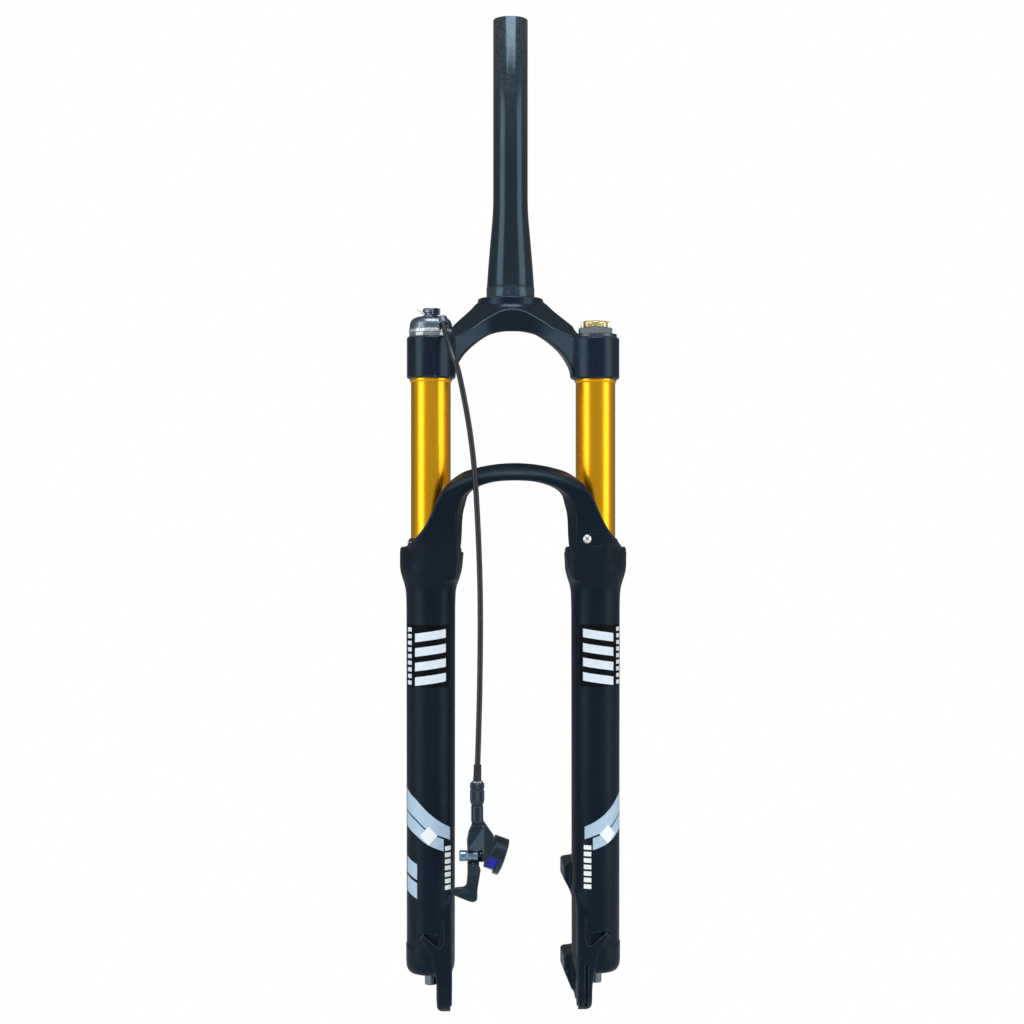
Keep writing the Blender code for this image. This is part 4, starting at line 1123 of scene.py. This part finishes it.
def remote_shape(x, y, z):
    px, py, pz = x - REMOTE.x, y - REMOTE.y, z - REMOTE.z
    body = outline_distance(px, pz, REMOTE_OUTLINE)
    sideways = np.maximum(0.48 * (px + 6.5), -0.5 * (px + 6.5))
    upright = np.maximum(0.39 * (pz + 48.5), -1.1 * (pz + 50.5))
    facet = np.minimum(-6.4 + np.maximum(sideways, upright), -0.6)
    body = common(body, 0.85 * (facet - py), 0.8)
    body = common(body, py - 5.3, 0.8)
    neck = np.maximum(np.hypot(px, py) - 4.7, slab(pz, -30, -17.8))
    collar = join(np.maximum(body, np.hypot(px, py) - 5.4), neck, 1.0)
    body = np.where(pz > -31, collar, join(body, neck, 1.5))
    along, back, up = clamp_local(x, y, z)
    around = np.hypot(back, up)
    band = common(around - CLAMP_OUTER, slab(along, -6.0, 6.0), 1.0)
    rim = common(np.abs(around - 13.6) - 0.4, np.abs(along - 6.0) - 0.6, 0.2)
    band = cut(band, rim, 0.3)
    window = common(common(back + 0.35 * up - 2.0, up + 1.5, 1.0), slab(along, -7.0, 1.6), 1.0)
    band = cut(band, window, 0.5)
    ears = common(slab(back, 8, 18.6), slab(up, -4.9, 4.9), 1.0)
    ears = common(ears, slab(along, -4.4, 4.4), 1.0)
    body = join(body, join(band, ears, 1.5), 1.6)
    ear = common(np.hypot(px - PIVOT_X, pz - PIVOT_Z) - 4.4, slab(py, 3.3, 5.2), 0.4)
    web = common(slab(px, PIVOT_X - 4.6, PIVOT_X + 4.6), slab(pz, PIVOT_Z, PIVOT_Z + 7), 0.4)
    body = join(body, np.minimum(ear, common(web, slab(py, 3.3, 5.2), 0.4)), 0.8)
    body = cut(body, np.maximum(around - CLAMP_BORE - 1.2, np.abs(along) - 16), 0.3)
    body = cut(body, np.maximum(np.maximum(np.abs(up) - 0.8, -back), np.abs(along) - 9), 0.2)
    body = cut(body, np.maximum(np.hypot(along, back - 16.4) - 1.75, np.abs(up) - 9), 0.2)
    body = cut(body, np.maximum(np.hypot(py, pz + BUTTON_DROP) - 4.5, slab(px, -12, 3.6)), 0.3)
    body = cut(body, np.maximum(np.hypot(px, py) - 2.5, slab(pz, -27, -10)), 0.3)
    return cut(body, np.hypot(px - PIVOT_X, pz - PIVOT_Z) - 1.8, 0.2)


LEVER_BOSS = smooth_curve([(-5.2, -11.0), (-4.6, -3.5), (-4.3, 1.6), (0.0, 4.2), (4.2, 2.2)], 4)
LEVER_OUTLINE = LEVER_BOSS + smooth_curve([
    (5.6, -1.5), (4.2, -10.0), (3.1, -17.0), (2.9, -23.6), (1.2, -25.8), (-2.2, -26.0), (-9.0, -23.4),
    (-15.6, -20.4), (-17.0, -17.6), (-14.0, -15.4), (-8.0, -14.6), (-5.8, -13.4),
], 4)


def lever_shape(x, y, z):
    """The paddle: waisted stem, dished foot, and a boss round the pivot."""
    px, py, pz = x - LEVER_PIVOT.x, y - LEVER_PIVOT.y, z - LEVER_PIVOT.z
    flat = outline_distance(px, pz, LEVER_OUTLINE)
    half = 2.5 + 0.6 * smooth_step(-pz, 12, 20)
    body = common(flat, np.abs(py) - half, 1.1)
    boss = common(np.hypot(px, pz) - 4.2, np.abs(py) - 2.9, 0.5)
    body = join(body, boss, 0.8)
    dish = np.hypot(np.hypot(px + 7, pz + 19.5), py + 12.5) - 10.3
    body = cut(body, dish, 0.8)
    return cut(body, np.hypot(px, pz) - 1.9, 0.2)


def remote_body():
    low, high = span("remote_body")
    body = surface("remote_body_skin", remote_shape, low, high, 0.45)
    finish_piece(body, "upper", DARK, "dark_grey", "remote_body")


def lever():
    """The paddle and the bolt it turns on."""
    low, high = span("lever_paddle")
    margin = Vector((1, 1, 1))
    paddle = surface("lever_paddle_skin", lever_shape, low - margin, high + margin, 0.4)
    finish_piece(paddle, "lever", DARK, "dark_grey", "lever_paddle")
    outline = rounded([
        (0, -4.9), (1.5, -4.9), (1.5, 3.6), (3.0, 3.6), (3.0, 4.6), (2.5, 5.0), (1.1, 5.0), (1.1, 4.0),
        (0, 4.0),
    ], 0.2)
    bolt = turned("lever_pivot_bolt_skin", outline, LEVER_PIVOT, SMALL, 35, hex_socket(1.1), (0, -1, 0))
    finish_piece(bolt, "upper", DARK, "steel", "lever_pivot_bolt")


def push_button():
    """Stepped silver-blue button that slides along X."""
    low, high = span("release_button")
    place = Vector((0, REMOTE.y, REMOTE.z - BUTTON_DROP))
    outline = rounded([
        (0, low.x + 0.5), (2.6, low.x + 0.5), (3.0, low.x), (3.7, low.x), (4.2, low.x + 0.7),
        (4.2, low.x + 5.2), (3.8, low.x + 5.6), (3.8, low.x + 6.2), (4.2, low.x + 6.6), (4.2, high.x - 0.4),
        (3.8, high.x), (0, high.x),
    ], 0.25)
    button = turned("release_button_skin", outline, place, FINE, 35, None, (1, 0, 0))
    finish_piece(button, "button", BLUE, "button_blue", "release_button")


def clamp_hardware():
    """The clamp's screw and the coloured liner in its bore."""
    along, back, up = clamp_axes()
    outline = rounded([
        (0, -5.2), (1.5, -5.2), (1.5, 5.3), (2.6, 5.3), (2.6, 7.6), (1.2, 7.6), (1.2, 6.2), (0, 6.2),
    ], 0.2)
    screw = turned("clamp_bolt_skin", outline, CLAMP + back * 16.4, SMALL, 35, hex_socket(1.2), up)
    finish_piece(screw, "upper", STEEL, "steel", "clamp_bolt")
    liner = turned("clamp_liner", rounded([(11.1, -6.3), (12.25, -6.3), (12.25, 6.3), (11.1, 6.3)], 0.2),
                   CLAMP, FINE, 35, None, along)
    finish_piece(liner, "upper", VIOLET, "dark_grey")


# ---------------- decals


def leg_radius(z):
    """The leg's radius at a height, as the casting has it."""
    return np.interp(z, [FOOT_END + 13, LEG_TOP - 60], [LEG_RADIUS - 0.3, LEG_RADIUS])


def film(name, outline, side, material, slot, lift=0.05):
    """A thin film wrapped on a leg. The outline is (distance round the leg from its front, z)."""
    bm = bmesh.new()
    corners = [bm.verts.new((u, 0, z)) for u, z in outline]
    bm.faces.new(corners)
    us = [u for u, _ in outline]
    zs = [z for _, z in outline]
    cuts = [((u, 0, 0), (1, 0, 0)) for u in np.arange(math.ceil(min(us)), max(us), 1.0)]
    cuts += [((0, 0, z), (0, 0, 1)) for z in np.arange(math.ceil(min(zs)), max(zs), 12.0)]
    for place, normal in cuts:
        geometry = bm.verts[:] + bm.edges[:] + bm.faces[:]
        bmesh.ops.bisect_plane(bm, geom=geometry, dist=0.001, plane_co=place, plane_no=normal)
    top = bm.verts[:]
    copied = bmesh.ops.duplicate(bm, geom=bm.faces[:])
    under = [v for v in copied["geom"] if isinstance(v, bmesh.types.BMVert)]
    for verts, height in ((top, lift), (under, 0.005)):
        for v in verts:
            base = float(leg_radius(v.co.z))
            angle = v.co.x / base
            v.co.y = LEG_Y - (base + height) * math.cos(angle)
            v.co.x = side * LEG_X + (base + height) * math.sin(angle)
    rims = [e for e in bm.edges if e.is_boundary]
    bmesh.ops.bridge_loops(bm, edges=rims)
    bmesh.ops.recalc_face_normals(bm, faces=bm.faces)
    mesh = bpy.data.meshes.new(name)
    for v in bm.verts:
        v.co *= MM
    bm.to_mesh(mesh)
    bm.free()
    mesh.shade_smooth()
    mesh.set_sharp_from_angle(angle=math.radians(50))
    return finish_piece(place_object(name, mesh), "lowers", material, slot)


def box_outline(low_u, high_u, low_z, high_z):
    return [(low_u, low_z), (high_u, low_z), (high_u, high_z), (low_u, high_z)]


# Edges of the double stripe from the top: (distance round the leg, z)
STRIPE_EDGES = [
    [(-26, -396.5), (-20, -400.5), (-13, -405), (-6, -411.7), (1, -418), (9, -423.7), (17.2, -427.8)],
    [(-26, -413.5), (-20, -416.5), (-13, -420.5), (-6, -426.5), (1, -431.4), (9, -434.6), (17.2, -437.8)],
    [(-26, -415.0), (-20, -418.0), (-13, -422.0), (-6, -428.0), (1, -432.9), (10.3, -436.6)],
    [(-26, -426.5), (-20, -429.5), (-13, -433.5), (-6, -438.5), (1, -442.5), (10.3, -446.2)],
]


def leg_decals(side, word, shift, slashes):
    """Generic graphics: a badge of plain bars, a swept double stripe with a mark, dashes and slashes."""

    def stick(name, outline, material, lift=0.05, move=0.0):
        """Outlines are drawn for the -X leg, its inner side at positive distances."""
        moved = [(-side * (u + move), z) for u, z in outline]
        film(f"{name}_{word}", moved[::-side], side, material, "cast_black", lift)

    badge_low, badge_high = -315.5, -266.0
    stick("badge_panel", box_outline(-26.0, 15.6, badge_low, badge_high), BLACK_FILM)
    for i in range(4):
        z = badge_high - 4.6 - 11.6 * i
        bar = [(-14.0, z - 9.2), (12.4, z - 5.4), (12.4, z + 1.4), (-14.0, z - 2.4)]
        stick(f"badge_bar_{i + 1}", bar, WHITE_FILM, 0.1)
    for i in range(9):
        z = badge_high - 2.2 - 5.3 * i
        stick(f"badge_tick_{i + 1}", box_outline(-23.8, -17.8, z - 3.3, z), WHITE_FILM, 0.1)
    for i in range(2):
        upper, lower = (smooth_curve(edge, 5) for edge in STRIPE_EDGES[2 * i:2 * i + 2])
        stick(f"stripe_{i + 1}", upper + lower[::-1], SILVER_FILM, move=shift)
    for i in range(slashes):
        z = -451.0 - 15.0 * i
        slash = [(-25.5, z), (-12.0, z - 5.5), (-12.0, z - 18.0), (-25.5, z - 12.5)]
        stick(f"slash_{i + 1}", slash, SILVER_FILM, move=shift)
    for i in range(7):
        z = -442.4 - 5.2 * i
        stick(f"dash_{i + 1}", box_outline(11.6, 18.0, z - 3.6, z), BRIGHT_FILM, move=shift)
    mark = [(-9.4, -433.5), (-2.2, -441.0), (5.0, -433.5), (-2.2, -426.0)]
    stick("stripe_mark", mark, BRIGHT_FILM, 0.12, shift)


def decals():
    leg_decals(-1, "left", 0.0, 2)
    leg_decals(1, "right", -6.3, 0)


# ---------------- inner parts keep their CAD shapes


def dress_cad_nodes():
    """Materials for the CAD nodes that stay."""
    wanted = (
        (HEX_DARK, ["damper_top_cap"]),
        (STEEL, [
            "lockout_return_spring", "compression_valve", "damper_seal_head", "air_seal_head", "damper_shaft",
            "rebound_piston", "air_shaft", "lockout_shaft",
        ]),
        (BRASS, ["valve_stem", "valve_core", "lockout_gate", "crush_washer_left", "crush_washer_right"]),
        (RUBBER, ["air_cap_seal", "air_piston_seal"]),
        (BUMPER, [f"{end}_bumper_{word}" for end in ("topout", "bottomout") for _, word in BOTH_LEGS]),
        (FOAM, [f"foam_ring_{word}" for _, word in BOTH_LEGS]),
        (POLYMER, [f"bushing_{end}_{word}" for end in ("upper", "lower") for _, word in BOTH_LEGS]),
        (POLYMER, ["piston_glide_ring", "air_piston"]),
    )
    for material, names in wanted:
        for name in names:
            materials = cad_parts[name].data.materials
            materials.clear()
            materials.append(material)


# ---------------- studio


def area_light(name, place, target, size, power, colour=(1, 1, 1)):
    light = bpy.data.lights.new(name, "AREA")
    light.shape = "RECTANGLE"
    light.size, light.size_y = size
    light.energy = power
    light.color = colour
    obj = place_object(name, light)
    obj.location = place
    obj.rotation_euler = (Vector(target) - Vector(place)).to_track_quat("-Z", "Y").to_euler()


def lit_and_seen(tree, lit, seen, shader_kind):
    """One shader for light rays and a plain white one for what the camera sees directly."""
    ray = tree.nodes.new("ShaderNodeLightPath")
    mix = tree.nodes.new("ShaderNodeMixShader")
    white = tree.nodes.new(shader_kind)
    white.inputs["Color"].default_value = (*seen, 1)
    tree.links.new(ray.outputs["Is Camera Ray"], mix.inputs["Fac"])
    tree.links.new(lit, mix.inputs[1])
    tree.links.new(white.outputs[0], mix.inputs[2])
    return mix.outputs[0]


FRONT_LIGHT = 0.48
BACK_LIGHT = 0.20


def studio():
    """Pale floor, pale surroundings that are dimmer behind, and soft boxes at the sides and above."""
    reach = 9000
    corners = [(-reach, -reach, -900), (reach, -reach, -900), (reach, reach, -900), (-reach, reach, -900)]
    floor = new_mesh_object("studio_floor", corners, [[0, 1, 2, 3]])
    paper = Nodes("floor_paper", (0.85, 0.86, 0.88), 0.9)
    paper.mix(paper.ramp(paper.noise(3, 3), 0.4, 0.7, 0.0, 0.15), (0.80, 0.81, 0.83))
    floor.data.materials.append(paper.done())
    out = paper.tree.nodes["Material Output"]
    shown = lit_and_seen(paper.tree, paper.shader.outputs[0], (1, 1, 1), "ShaderNodeEmission")
    paper.link(shown, out.inputs["Surface"])
    floor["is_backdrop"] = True

    world = bpy.data.worlds.new("studio")
    bpy.context.scene.world = world
    world.use_nodes = True
    tree = world.node_tree
    tree.nodes.clear()
    lit = tree.nodes.new("ShaderNodeBackground")
    lit.inputs["Color"].default_value = (0.92, 0.97, 1.0, 1)
    direction = tree.nodes.new("ShaderNodeSeparateXYZ")
    tree.links.new(tree.nodes.new("ShaderNodeTexCoord").outputs["Generated"], direction.inputs[0])
    fade = tree.nodes.new("ShaderNodeMapRange")
    tree.links.new(direction.outputs["Y"], fade.inputs["Value"])
    fade.inputs["From Min"].default_value = -0.1
    fade.inputs["From Max"].default_value = 0.6
    fade.inputs["To Min"].default_value = FRONT_LIGHT
    fade.inputs["To Max"].default_value = BACK_LIGHT
    tree.links.new(fade.outputs["Result"], lit.inputs["Strength"])
    out = tree.nodes.new("ShaderNodeOutputWorld")
    shown = lit_and_seen(tree, lit.outputs[0], (1, 1, 1), "ShaderNodeBackground")
    tree.links.new(shown, out.inputs["Surface"])

    target = (0, -0.04, -0.2)
    cool = (0.94, 0.98, 1.0)
    area_light("key_left", (-1.95, -1.15, 0.1), target, (1.3, 2.6), 21, cool)
    area_light("key_right", (1.95, -1.15, 0.1), target, (1.3, 2.6), 19, cool)
    area_light("top", (0.0, -0.9, 1.7), target, (1.6, 1.0), 30)
    bpy.context.scene.view_settings.view_transform = "Standard"


def camera():
    """Level with the middle of the fork and a little round to its left."""
    yaw = math.radians(3.4)
    distance = 1.558
    forward = Vector((math.sin(yaw), math.cos(yaw), 0))
    right = Vector((math.cos(yaw), -math.sin(yaw), 0))
    data = bpy.data.cameras.new("camera")
    data.lens = 67.9
    data.sensor_width = 36
    obj = place_object("camera", data)
    obj.location = Vector((0, LEG_Y * MM, -0.176)) - forward * distance - right * 0.0011
    obj.rotation_euler = forward.to_track_quat("-Z", "Y").to_euler()
    bpy.context.scene.camera = obj


def write_sizes():
    """The CAD box and the visual model's box, as plain numbers."""
    boxes = {"cad": cad_box, "visual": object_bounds()}
    plain = {key: [[float(c) for c in corner] for corner in value] for key, value in boxes.items()}


lower_casting()
crown()
steerer()
stanchions()
wiper_seals()
lock_ring()
lockout_dome()
cable_spool()
spool_lug()
pinch_bolt()
cable_end()
air_cap()
gold_cap()
foot_bolts()
hose_guide()
cable()
barrel()
remote_body()
lever()
push_button()
clamp_hardware()
decals()
dress_cad_nodes()
studio()
camera()
write_sizes()
